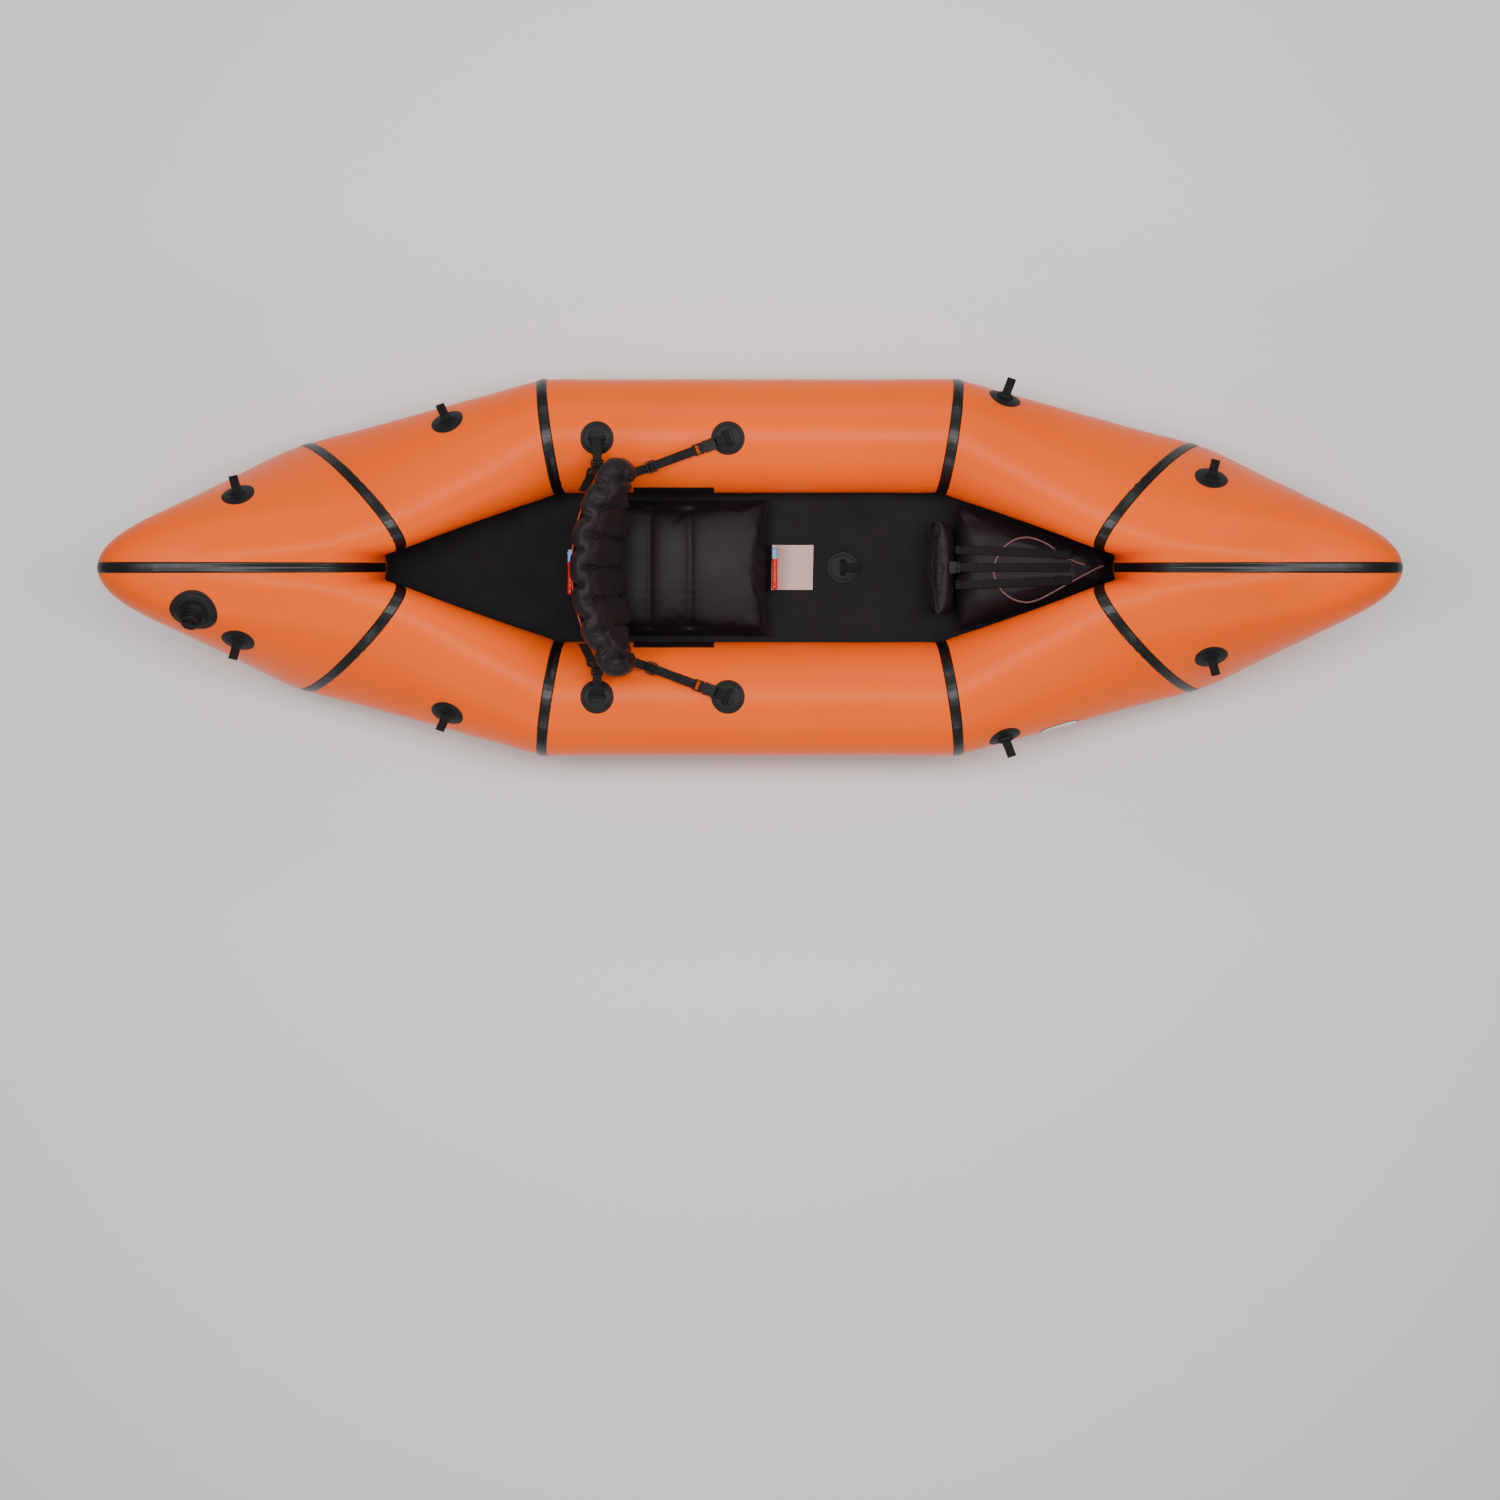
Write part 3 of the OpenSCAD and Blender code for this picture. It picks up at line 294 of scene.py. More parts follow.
def tube_shell(rings, cloth=None, closed=False):
    """Rings of points joined in order; both ends are closed with a fan unless the rings close on themselves."""
    rings = np.asarray(rings, float)
    n, m = rings.shape[:2]
    faces = grid_faces(n, m, close_rows=closed).tolist()
    points = rings.reshape(-1, 3)
    uv = np.zeros((n * m, 2)) if cloth is None else np.asarray(cloth, float).reshape(-1, 2)
    if not closed:
        points = np.vstack([points, rings[0].mean(0), rings[-1].mean(0)])
        uv = np.vstack([uv, uv[:m].mean(0), uv[-m:].mean(0)])
        j = np.arange(m)
        k = (j + 1) % m
        faces += np.stack([j, k, np.full(m, n * m)], -1).tolist()
        last = (n - 1) * m
        faces += np.stack([last + k, last + j, np.full(m, n * m + 1)], -1).tolist()
    return Shell(points, faces, uv)


def sweep(path, section, ups, closed=False, scale=None):
    """A closed profile carried along a path: its first axis lies across the path and its second along ups."""
    path, section = np.asarray(path, float), np.asarray(section, float)
    ups = np.broadcast_to(np.asarray(ups, float), path.shape)
    if closed:
        along = np.roll(path, -1, 0) - np.roll(path, 1, 0)
    else:
        along = np.gradient(path, axis=0)
    along = unit(along)
    across = unit(np.cross(along, ups))
    normal = np.cross(across, along)
    size = np.ones(len(path)) if scale is None else np.asarray(scale, float)
    rings = (path[:, None] + section[None, :, :1] * across[:, None] * size[:, None, None]
             + section[None, :, 1:] * normal[:, None] * size[:, None, None])
    step = np.linalg.norm(np.diff(path, axis=0), axis=1)
    walked = np.concatenate([[0], np.cumsum(step)]) / 1000
    cloth = stack(walked[:, None], section[None, :, 0] / 1000)
    return tube_shell(rings, cloth, closed)


def round_section(radius, sides=16):
    a = np.arange(sides) * 360 / sides
    return np.stack([radius * cos_deg(a), radius * sin_deg(a)], -1)


def band_section(width, thick, columns=9):
    """Flat band with rounded, slightly thicker selvedges."""
    x = np.linspace(-1, 1, columns)
    half = thick / 2 * (1 - 0.75 * np.abs(x) ** 14) * (1 + 0.18 * bell(np.abs(x), 0.86, 0.1))
    top = np.stack([x * width / 2, half], -1)
    low = np.stack([x[::-1] * width / 2, -half[::-1]], -1)
    return np.vstack([top, low])


def webbing(path, ups, width=WEB_W, thick=WEB_T, closed=False):
    return sweep(path, band_section(width, thick), ups, closed)


def lathe(profile, origin, axes, ribs=None, sides=72):
    """Profile of radius and height turned about an axis; ribs, if given, adds to the radius for each point."""
    profile = np.asarray(profile, float)
    a = np.arange(sides) * 360 / sides
    radius = profile[:, 0, None] + (0 if ribs is None else ribs(a[None, :], profile[:, 1, None]))
    e1, e2, e3 = axes
    rings = (origin + radius[..., None] * (cos_deg(a)[None, :, None] * e1 + sin_deg(a)[None, :, None] * e2)
             + profile[:, 1, None, None] * e3)
    return tube_shell(rings, stack(np.radians(a)[None, :] * 0.02, profile[:, 1, None] / 1000))


def rounded_box(origin, size, axes=np.eye(3), power=6.0, rows=14, sides=28, shape=None):
    """Superellipsoid: a box whose edges are rounded the more, the lower the power is."""
    lat = np.linspace(-90, 90, rows + 2)[1:-1]
    lon = np.arange(sides) * 360 / sides
    c, s = power_wave(lat, power)
    x, y = power_wave(lon, power)
    local = stack(c[:, None] * x[None, :], c[:, None] * y[None, :], s[:, None] + 0 * x[None, :])
    local = local * np.asarray(size, float) / 2
    if shape is not None:
        local = shape(local)
    points = np.asarray(origin, float) + local @ np.asarray(axes, float)
    return tube_shell(points)


def make_mesh(name, shells, merge=0.0, sharp=None):
    """One mesh from several shells, in metres in the shared frame, with faces turned outwards."""
    points, faces, cloth, base = [], [], [], 0
    for shell in shells:
        points.append(shell.points)
        cloth.append(shell.cloth)
        faces += [[i + base for i in f] for f in shell.faces]
        base += len(shell.points)
    points = (np.vstack(points) + [0, 0, FIN_DEPTH]) / 1000
    cloth = np.vstack(cloth)
    mesh = bpy.data.meshes.new(name)
    mesh.from_pydata(points.tolist(), [], faces)
    layer = mesh.uv_layers.new(name="Cloth")
    corner = np.zeros(len(mesh.loops), int)
    mesh.loops.foreach_get("vertex_index", corner)
    layer.data.foreach_set("uv", cloth[corner].astype(np.float32).ravel())
    work = bmesh.new()
    work.from_mesh(mesh)
    if merge:
        bmesh.ops.remove_doubles(work, verts=work.verts, dist=merge)
    bmesh.ops.recalc_face_normals(work, faces=work.faces)
    work.to_mesh(mesh)
    work.free()
    mesh.shade_smooth()
    if sharp:
        mesh.set_sharp_from_angle(angle=math.radians(sharp))
    return mesh


def make_piece(name, shells, finish, body, hides=(), merge=0.0, sharp=None):
    """A finished piece: its mesh, material, body and the CAD nodes it stands for."""
    piece = bpy.data.objects.new(name, make_mesh(name, shells, merge, sharp))
    bpy.context.scene.collection.objects.link(piece)
    piece.data.materials.append(finish)
    if body:
        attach(piece, body)
    if hides:
        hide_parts(*hides)
    return piece


# ---------- finishes ----------
class Finish:
    """A procedural material: shader constants on its sockets, and colour, roughness and bump from node patterns."""

    def __init__(self, name, roughness=0.5, metallic=0.0, coat=0.0, sheen=0.0, specular=0.5):
        self.material = bpy.data.materials.new(name)
        self.material.use_nodes = True
        self.nodes, self.links = self.material.node_tree.nodes, self.material.node_tree.links
        self.shader = next(n for n in self.nodes if n.type == "BSDF_PRINCIPLED")
        for socket, value in (("Roughness", roughness), ("Metallic", metallic), ("Coat Weight", coat),
                              ("Coat Roughness", 0.22), ("Sheen Weight", sheen), ("Sheen Roughness", 0.45),
                              ("Specular IOR Level", specular)):
            self.shader.inputs[socket].default_value = value
        self.coordinates = self.nodes.new("ShaderNodeTexCoord")
        self.normal = None

    def mapped(self, space, scale):
        """Coordinates of the object or of the cloth, stretched by a scale on each axis."""
        node = self.nodes.new("ShaderNodeMapping")
        node.inputs["Scale"].default_value = scale
        self.links.new(self.coordinates.outputs[space], node.inputs["Vector"])
        return node.outputs["Vector"]

    def noise(self, scale, detail=3.0, space="Object", stretch=(1, 1, 1), rough=0.5):
        node = self.nodes.new("ShaderNodeTexNoise")
        node.inputs["Scale"].default_value = scale
        node.inputs["Detail"].default_value = detail
        node.inputs["Roughness"].default_value = rough
        self.links.new(self.mapped(space, stretch), node.inputs["Vector"])
        return node.outputs["Fac"]

    def wave(self, scale, direction, space="UV", distortion=0.0, profile="SIN"):
        node = self.nodes.new("ShaderNodeTexWave")
        node.bands_direction = direction
        node.wave_profile = profile
        node.inputs["Scale"].default_value = scale
        node.inputs["Distortion"].default_value = distortion
        self.links.new(self.mapped(space, (1, 1, 1)), node.inputs["Vector"])
        return node.outputs["Fac"]

    def weave(self, pitch, space="UV"):
        """Plain weave: two crossed sine waves of the given pitch in metres, multiplied."""
        per_metre = 1 / pitch * 2 * math.pi / 20
        return self.math("MULTIPLY", self.wave(per_metre, "X", space), self.wave(per_metre, "Y", space))

    def math(self, operation, a, b):
        node = self.nodes.new("ShaderNodeMath")
        node.operation = operation
        for socket, value in zip(node.inputs, (a, b)):
            if isinstance(value, (int, float)):
                socket.default_value = value
            else:
                self.links.new(value, socket)
        return node.outputs[0]

    def ramp(self, source, stops):
        """Colours at places between 0 and 1 along a pattern."""
        node = self.nodes.new("ShaderNodeValToRGB")
        elements = node.color_ramp.elements
        while len(elements) < len(stops):
            elements.new(0.5)
        for element, (place, colour) in zip(elements, stops):
            element.position = place
            element.color = (*colour, 1)
        self.links.new(source, node.inputs["Fac"])
        return node.outputs["Color"]

    def colour(self, source, stops):
        self.links.new(self.ramp(source, stops), self.shader.inputs["Base Color"])
        return self

    def rough(self, source, low, high):
        node = self.nodes.new("ShaderNodeMapRange")
        node.inputs["To Min"].default_value = low
        node.inputs["To Max"].default_value = high
        self.links.new(source, node.inputs["Value"])
        self.links.new(node.outputs["Result"], self.shader.inputs["Roughness"])
        return self

    def bump(self, source, depth, strength=1.0):
        """Raises the surface by the pattern times a depth in metres, on top of earlier bumps."""
        node = self.nodes.new("ShaderNodeBump")
        node.inputs["Strength"].default_value = strength
        node.inputs["Distance"].default_value = depth
        self.links.new(source, node.inputs["Height"])
        if self.normal is not None:
            self.links.new(self.normal, node.inputs["Normal"])
        self.normal = node.outputs["Normal"]
        self.links.new(self.normal, self.shader.inputs["Normal"])
        return self


def shade(colour, factor):
    return tuple(min(1.0, c * factor) for c in colour)


def coated_fabric(name, colour, roughness, coat=0.25):
    """Thermoplastic coated nylon: fine taffeta under a satin film, with soft handling waves and faint tint changes."""
    f = Finish(name, roughness, coat=coat, specular=0.5)
    f.shader.inputs["IOR"].default_value = 1.22
    patches = f.noise(2.4, 3)
    f.colour(patches, [(0.3, shade(colour, 0.93)), (0.52, colour), (0.72, shade(colour, 1.06))])
    f.rough(f.noise(5, 4), roughness - 0.05, roughness + 0.07)
    f.bump(f.noise(7, 2), 0.0022, 0.35)
    f.bump(f.noise(1500, 1), 0.00008, 0.5)
    return f.material


def welded_tape(name, colour):
    """Heat-pressed tape: streaks along its length, small press marks and a semi-gloss film."""
    f = Finish(name, 0.34, coat=0.08, specular=0.3)
    streaks = f.noise(60, 4, "UV", (1.5, 22, 1))
    f.colour(streaks, [(0.3, shade(colour, 0.7)), (0.6, colour), (0.85, shade(colour, 2.6))])
    f.rough(f.noise(40, 3, "UV", (6, 1, 1)), 0.22, 0.48)
    f.bump(f.noise(26, 3, "UV", (5, 1, 1)), 0.0006, 0.5)
    f.bump(streaks, 0.0001, 0.5)
    return f.material


def moulded(name, colour, roughness, grain=900, depth=0.00008, coat=0.0):
    """Moulded plastic or rubber: fine spark-eroded grain, slightly uneven gloss and lighter rubbed places."""
    f = Finish(name, roughness, coat=coat, specular=0.18)
    f.colour(f.noise(28, 4), [(0.32, shade(colour, 0.85)), (0.6, colour), (0.85, shade(colour, 1.45))])
    f.rough(f.noise(45, 4), roughness - 0.08, roughness + 0.1)
    f.bump(f.noise(grain, 2), depth, 0.6)
    f.bump(f.noise(60, 2), 0.0002, 0.3)
    return f.material


def woven_webbing(name, colour):
    """Polyester webbing: cross ribs and lengthways warp lines in a dull fibre with a slight sheen."""
    f = Finish(name, 0.62, sheen=0.06, specular=0.2)
    ribs = f.wave(1 / 0.0014 * 2 * math.pi / 20, "X")
    warp = f.wave(1 / 0.0019 * 2 * math.pi / 20, "Y", distortion=0.4)
    threads = f.math("MULTIPLY", ribs, warp)
    f.colour(f.math("ADD", f.math("MULTIPLY", threads, 0.55), f.math("MULTIPLY", f.noise(70, 3), 0.45)),
             [(0.2, shade(colour, 0.6)), (0.5, colour), (0.85, shade(colour, 1.9))])
    f.rough(threads, 0.72, 0.5)
    f.bump(threads, 0.00035, 0.8)
    return f.material


def bladder_cloth(name, colour, roughness=0.54):
    """Light coated nylon of the seat bladders: fine weave, soft creases and an uneven satin gloss."""
    f = Finish(name, roughness, coat=0.02, sheen=0.02, specular=0.2)
    f.colour(f.noise(9, 4), [(0.3, shade(colour, 0.8)), (0.55, colour), (0.8, shade(colour, 1.3))])
    f.rough(f.noise(14, 4), roughness - 0.07, roughness + 0.12)
    f.bump(f.noise(16, 4, rough=0.6), 0.005, 0.28)
    f.bump(f.noise(55, 3), 0.0012, 0.25)
    f.bump(f.noise(1300, 1), 0.00008, 0.5)
    return f.material


def floor_cloth(name, colour):
    """Heavy coated floor nylon: dull grained film over a coarse basket weave."""
    f = Finish(name, 0.62, specular=0.18)
    f.colour(f.noise(6, 5), [(0.3, shade(colour, 0.8)), (0.55, colour), (0.8, shade(colour, 1.25))])
    f.rough(f.noise(20, 4), 0.54, 0.72)
    f.bump(f.weave(0.0016), 0.00018, 0.7)
    f.bump(f.noise(8, 3), 0.004, 0.25)
    return f.material


def braided_elastic(name, colour):
    """Braided cover of an elastic cord: crossed diagonal strands with lighter flecks."""
    f = Finish(name, 0.5, sheen=0.2, specular=0.35)
    strands = f.noise(420, 2, "UV", (1, 2.5, 1))
    f.colour(strands, [(0.35, shade(colour, 0.45)), (0.5, colour), (0.68, shade(colour, 2.0))])
    f.rough(strands, 0.6, 0.42)
    f.bump(f.weave(0.0012), 0.0002, 0.8)
    return f.material


def plain_film(name, colour, roughness):
    """Smooth printed film or satin label cloth with faint creases and no print."""
    f = Finish(name, roughness, specular=0.4)
    f.colour(f.noise(18, 4), [(0.3, shade(colour, 0.94)), (0.6, colour), (0.85, shade(colour, 1.04))])
    f.rough(f.noise(30, 3), roughness - 0.06, roughness + 0.08)
    f.bump(f.noise(30, 3), 0.0008, 0.3)
    f.bump(f.noise(1500, 1), 0.00005, 0.5)
    return f.material


_finishes = {}


def finish(slot):
    """The material for a finish slot, made the first time it is asked for."""
    if slot not in _finishes:
        look = bpy.context.scene.kayak_colours
        makers = {
            "hull_fabric": lambda: coated_fabric("orange_hull_fabric", tuple(look.hull), 0.34, 0.0),
            "seam_tape": lambda: welded_tape("black_seam_tape", tuple(look.tape)),
            "floor_fabric": lambda: floor_cloth("black_floor_fabric", tuple(look.floor)),
            "patch_rubber": lambda: moulded("black_patch_rubber", (0.011, 0.0108, 0.0115), 0.5, 700, 0.0001),
            "webbing": lambda: woven_webbing("black_webbing", (0.0085, 0.008, 0.0085)),
            "buckle_plastic": lambda: moulded("black_buckle_plastic", (0.0055, 0.0053, 0.0058), 0.46),
            "valve_plastic": lambda: moulded("black_valve_plastic", (0.01, 0.01, 0.0098), 0.42),
            "fin_plastic": lambda: moulded("black_fin_plastic", (0.008, 0.008, 0.0085), 0.4, 500, 0.0001),
            "seat_fabric": lambda: bladder_cloth("black_bladder_cloth", tuple(look.seat)),
            "mouth_tube_plastic": lambda: moulded("red_mouth_tube", (0.7, 0.01, 0.003), 0.34, coat=0.2),
            "mouth_tip_plastic": lambda: moulded("blue_mouth_tip", (0.2, 0.5, 0.85), 0.32, coat=0.2),
            "tag_cloth": lambda: plain_film("blank_tag_cloth", (0.72, 0.5, 0.46), 0.62),
            "elastic": lambda: braided_elastic("brown_elastic", (0.17, 0.08, 0.07)),
            "badge_film": lambda: plain_film("blank_badge_film", (0.8, 0.8, 0.8), 0.38),
            "badge_rim": lambda: plain_film("badge_rim_film", (0.02, 0.02, 0.02), 0.4),
            "piping": lambda: moulded("orange_piping", (0.55, 0.045, 0.005), 0.5),
        }
        _finishes[slot] = makers[slot]()
    return _finishes[slot]


# ---------- settings ----------
class KayakColours(bpy.types.PropertyGroup):
    """Colours of the coated fabrics."""
    hull: bpy.props.FloatVectorProperty(
        name="Hull", description="Colour of the inflated hull panels", subtype="COLOR", size=3,
        min=0, max=1, default=(1.0, 0.118, 0.0))
    tape: bpy.props.FloatVectorProperty(
        name="Seam tape", description="Colour of the welded seam tapes", subtype="COLOR", size=3,
        min=0, max=1, default=(0.006, 0.0058, 0.006))
    floor: bpy.props.FloatVectorProperty(
        name="Floor", description="Colour of the floor sheet", subtype="COLOR", size=3,
        min=0, max=1, default=(0.0078, 0.0062, 0.0072))
    seat: bpy.props.FloatVectorProperty(
        name="Seat", description="Colour of the seat, backrest and foot cushion", subtype="COLOR", size=3,
        min=0, max=1, default=(0.0112, 0.0072, 0.0092))


class KayakAir(bpy.types.PropertyGroup):
    """How full the soft pieces are."""
    pressure: bpy.props.FloatProperty(
        name="Cushion pressure", description="Pressure inside the cushions while they are blown up",
        min=0, max=12, default=4.0)
    frames: bpy.props.IntProperty(
        name="Blow-up frames", description="How many steps the cushions are blown up for", min=4, max=40, default=20)
    channel_depth: bpy.props.FloatProperty(
        name="Channel depth", description="Depth of the welded channels across the seat, in millimetres",
        min=0, max=20, default=9.0)


class KayakStage(bpy.types.PropertyGroup):
    """Light and camera."""
    key_power: bpy.props.FloatProperty(
        name="Overhead light", description="Power of the large soft light above the hull",
        min=0, subtype="POWER", default=61.0)
    camera_height: bpy.props.FloatProperty(
        name="Camera height", description="Height of the camera above the ground", min=1, unit="LENGTH",
        default=5.148)


# ---------- hull ----------
V_STEP = 2.5
ANGLES = np.arange(0, 360, V_STEP)


def spaced(rows, ends=2.2):
    """Rows from 0 to 1 that crowd towards both ends, where the seams are."""
    t = np.linspace(-1, 1, rows)
    return 0.5 + 0.5 * np.sign(t) * (1 - (1 - np.abs(t)) ** ends)


def side_tube_panel():
    """Straight cylinder cut by the two mitre planes, with each row shifted along to follow them."""
    t = spaced(110)[:, None] * 2 - 1
    reach = SEAM_X + TUBE_R * math.tan(math.radians(TOE_IN / 2)) * cos_deg(ANGLES)[None, :] - 0.15
    distance = (1 - np.abs(t)) * reach
    lift = seam_dip(distance) + seam_pucker(distance, ANGLES[None, :], 11)
    flat = stack(t * reach, TUBE_Y + TUBE_R * cos_deg(ANGLES)[None, :], TUBE_R + TUBE_R * sin_deg(ANGLES)[None, :])
    lift = lift + 0.35 * lumps(flat, 5, 160)
    radius = TUBE_R + lift - 0.2
    rings = stack(t * reach, TUBE_Y + radius * cos_deg(ANGLES)[None, :], TUBE_R + radius * sin_deg(ANGLES)[None, :])
    return tube_shell(rings)


def lifted(rings, out, lift):
    return rings + out * lift[..., None]


def grid_normals(s, v, end):
    return hull_axes(s, v, end)[2]


def quarter_panel(end):
    """Ruled surface from the circle at the middle seam to the ellipse at the end seam."""
    s = 0.0008 + 0.9984 * spaced(70)[:, None]
    v = ANGLES[None, :]
    run = np.linalg.norm(end_ring(ANGLES) - mid_ring(ANGLES), axis=-1)[None, :]
    near, far = s * run, (1 - s) * run
    lift = seam_dip(near) + seam_dip(far) + seam_pucker(near, v, 12) + seam_pucker(far, v, 13 + end)
    s, v = np.broadcast_arrays(s, v)
    flat = hull_surface(s, v, end)
    return tube_shell(lifted(flat, grid_normals(np.clip(s, 0.02, 0.98), v, end), lift + 0.35 * lumps(flat, 6, 150)))


def cone_panel(end):
    """Arch of the end cone: the cubic surface from one end seam to the centreline and its mirror image beyond."""
    w = spaced(86)[:, None]
    v = ANGLES[None, :]
    run = np.linalg.norm(stem_line(ANGLES, end) - end_ring(ANGLES), axis=-1)[None, :] * 1.1
    near, far = w * run, (1 - w) * run
    tip = bump_at(ANGLES, 25, 100)[None, :]
    crimp = tip * np.exp(-far / 26) * ripples(np.radians(ANGLES)[None, :], 31 + end, 40, 75)
    lift = seam_dip(near) + seam_pucker(near, v, 15 + end) - 0.8 * np.exp(-((far / 10) ** 2)) + 0.7 * crimp
    w, v = np.broadcast_arrays(w, v)
    flat = cone_surface(w, v, end)
    out = grid_normals(np.clip(1 + w, 1.01, 1.992), v, end)
    out[-1] = unit(out[-1] * [1, 0, 1])
    half = lifted(flat, out, lift + 0.4 * lumps(flat, 7 + end, 190))
    half[0] = half[0] + seam_gap_shift()
    half[-1, :, 1] = 0
    return tube_shell(np.concatenate([half, (half * [1, -1, 1])[-2::-1]]))


def seam_gap_shift():
    """A hair's breadth along the axis of the end seam, so that two panels don't share a plane."""
    across = unit(end_ring(0) - end_ring(180))
    return 0.15 * unit(np.cross(across, end_ring(90) - end_ring(270)))


def ring_tape(s, end, side):
    """Tape round the tube, centred on a seam, with raised selvedges and a slight ridge over the seam."""
    v = np.arange(0, 360, 2.0)
    out = unit(grid_normals(np.full_like(v, s - 0.012), v, end) + grid_normals(np.full_like(v, s + 0.012), v, end))
    x = np.linspace(-1, 1, 9)
    height = 0.95 + 0.3 * bell(x, 0, 0.12) - 0.75 * np.abs(x) ** 10
    rings = []
    for k, h in list(zip(x, height)) + [(0.95, -0.5), (0, -1.1), (-0.95, -0.5)]:
        d = k * TAPE_W / 2
        speed = np.linalg.norm(hull_axes(s + (0.012 if d > 0 else -0.012), v, end)[3], axis=-1)
        crease = 0.3 * ripples(np.radians(v), 41, 30, 60) * (h > 0)
        rings.append(hull_surface(s + d / speed, v, end) + out * (h - 0.1 + crease)[:, None])
    rings = np.stack(rings, 1)
    cloth = stack(np.radians(v)[:, None] * TUBE_R / 1000, np.arange(rings.shape[1])[None, :] * 0.003)
    return tube_shell(rings, cloth, closed=True).at(end, side)


def centre_tape(end):
    """Tape along the centreline, from the cockpit's point over the deck and round the stem, crimped at the stem."""
    v = np.linspace(-54, 186, 460)
    x = np.linspace(-1, 1, 9)
    crimp = bump_at(v, 14, 34) if end > 0 else 0.45 * bump_at(v, 20, 24)
    wave = crimp * (0.55 * np.sin(v * 4.4) + 0.5 * ripples(np.radians(v), 51, 120, 210)) + 0.12 * ripples(
        np.radians(v), 52, 40, 90)
    rings = []
    for k, h in [(a, 0.9 - 0.7 * abs(a) ** 10 + 0.35 * bell(a, 0, 0.15)) for a in x] + [(0.9, -0.6), (0, -1.2), (-0.9, -0.6)]:
        away = abs(k) * TAPE_W / 2
        p = cone_surface(1 - away / 3 / cone_spread(v), v, end) * [1, -1 if k < 0 else 1, 1]
        t = unit(cone_surface(1, v + 1, end) - cone_surface(1, v - 1, end))
        out = unit(np.cross([0, 1, 0], t))
        edge = 1 + 0.03 * crimp * np.sin(v * 7.1)
        rings.append(p * stack(1, edge, 1) + out * (h + wave * (h > 0))[:, None])
    rings = np.stack(rings, 1)
    step = np.linalg.norm(np.gradient(rings[:, 4], axis=0), axis=-1)
    cloth = stack(np.cumsum(step)[:, None] / 1000, np.arange(rings.shape[1])[None, :] * 0.003)
    return tube_shell(rings, cloth).at(end)


def keel_line():
    """Underside line of the tubes: distance from the centreline against distance from amidships."""
    s = np.linspace(0, 1.96, 90)
    p = hull_surface(s, np.full_like(s, 270.0), 1)
    return np.concatenate([[0], p[:, 0]]), np.concatenate([[TUBE_Y], p[:, 1]])


def floor_shell():
    """Sheet lapped under both tubes: flat between them, and rising with the tubes' undersides at its edge."""
    lap = 35.0
    bow_end, stern_end = POINT_X + 0.47 * (TIP_X - POINT_X), POINT_X + 0.64 * (TIP_X - POINT_X)
    keel = end_ring(270.0)
    knots = [(-stern_end, lap), (-keel[0] - lap / 2, keel[1] + lap), (-SEAM_X - lap / 4, TUBE_Y + lap),
             (SEAM_X + lap / 4, TUBE_Y + lap), (keel[0] + lap / 2, keel[1] + lap), (bow_end, lap)]
    x = np.linspace(-stern_end, bow_end, 240)
    half = np.interp(x, [k[0] for k in knots], [k[1] for k in knots])
    y = np.linspace(-1, 1, 97)[None, :] * half[:, None]
    line_x, line_y = keel_line()
    contact = np.interp(np.abs(x), line_x, line_y)[:, None]
    beyond = np.maximum(0, np.abs(y) - contact)
    points = stack(x[:, None], y, 0)
    sag = 0.5 * lumps(points, 61, 210) * smooth_step(0, 60, contact - np.abs(y))
    top = FLOOR_TOP + 0.3 + sag + 0.85 * beyond**2 / (2 * TUBE_R)
    upper = stack(x[:, None], y, top)
    rings = np.concatenate([upper, (upper - [0, 0, 2.0])[:, ::-1]], axis=1)
    return tube_shell(rings, rings[..., :2] / 1000)


# ---------- patches and loops ----------
def patch_disc(s, v, end, diameter=75.0, turn=0.0, plinth=True):
    """Disc that follows the hull: a thin welded flange, a raised step and a small rectangular plinth."""
    radius = np.concatenate([[0.0], np.linspace(0.06, 0.72, 16), [0.76, 0.79, 0.82, 0.86, 0.92, 0.955, 0.985, 1.0]])
    angle = np.arange(0, 360, 5.0)
    r = radius[:, None] * diameter / 2
    a, b = r * cos_deg(angle + turn), r * sin_deg(angle + turn)
    height = 1.25 + 1.15 * (1 - smooth_step(0.76, 0.82, radius))[:, None] - 1.0 * smooth_step(0.95, 1.0, radius)[:, None]
    height = height + 0.35 * bell(radius, 0.9, 0.03)[:, None] + 0 * a
    if plinth:
        x, y = r * cos_deg(angle), r * sin_deg(angle)
        box = (1 - smooth_step(15, 18.5, np.abs(x))) * (1 - smooth_step(10.5, 14, np.abs(y)))
        height = height + 1.5 * box
    top = beside(s, v, end, a, b, height)
    low = beside(s, v, end, a, b, 0 * height + 0.15)
    return tube_shell(np.concatenate([low[1:], top[:0:-1]]))


def bridge_shells(origin, axes):
    """Arched bar on two spread feet; its thickness is greatest at the feet and its bar lies at the origin."""
    x = np.linspace(-1, 1, 41)
    path = stack(x * 15.5, 0, 1.6 - (BAR_H - 2.2) * np.abs(x) ** 3.2)
    grow = 1 + 0.85 * smooth_step(0.6, 1.0, np.abs(x))
    section = round_section(1.0, 18) * [3.4, 2.7]
    shell = sweep(path, section, [0, 0, 1], scale=grow)
    shell.points = origin + shell.points @ axes
    plates = [rounded_box(origin + np.array([k * 14.5, 0, -(BAR_H - 3.6)]) @ axes, (8, 17, 3.4), axes, 4, 10, 24)
              for k in (1, -1)]
    return [shell, *plates]


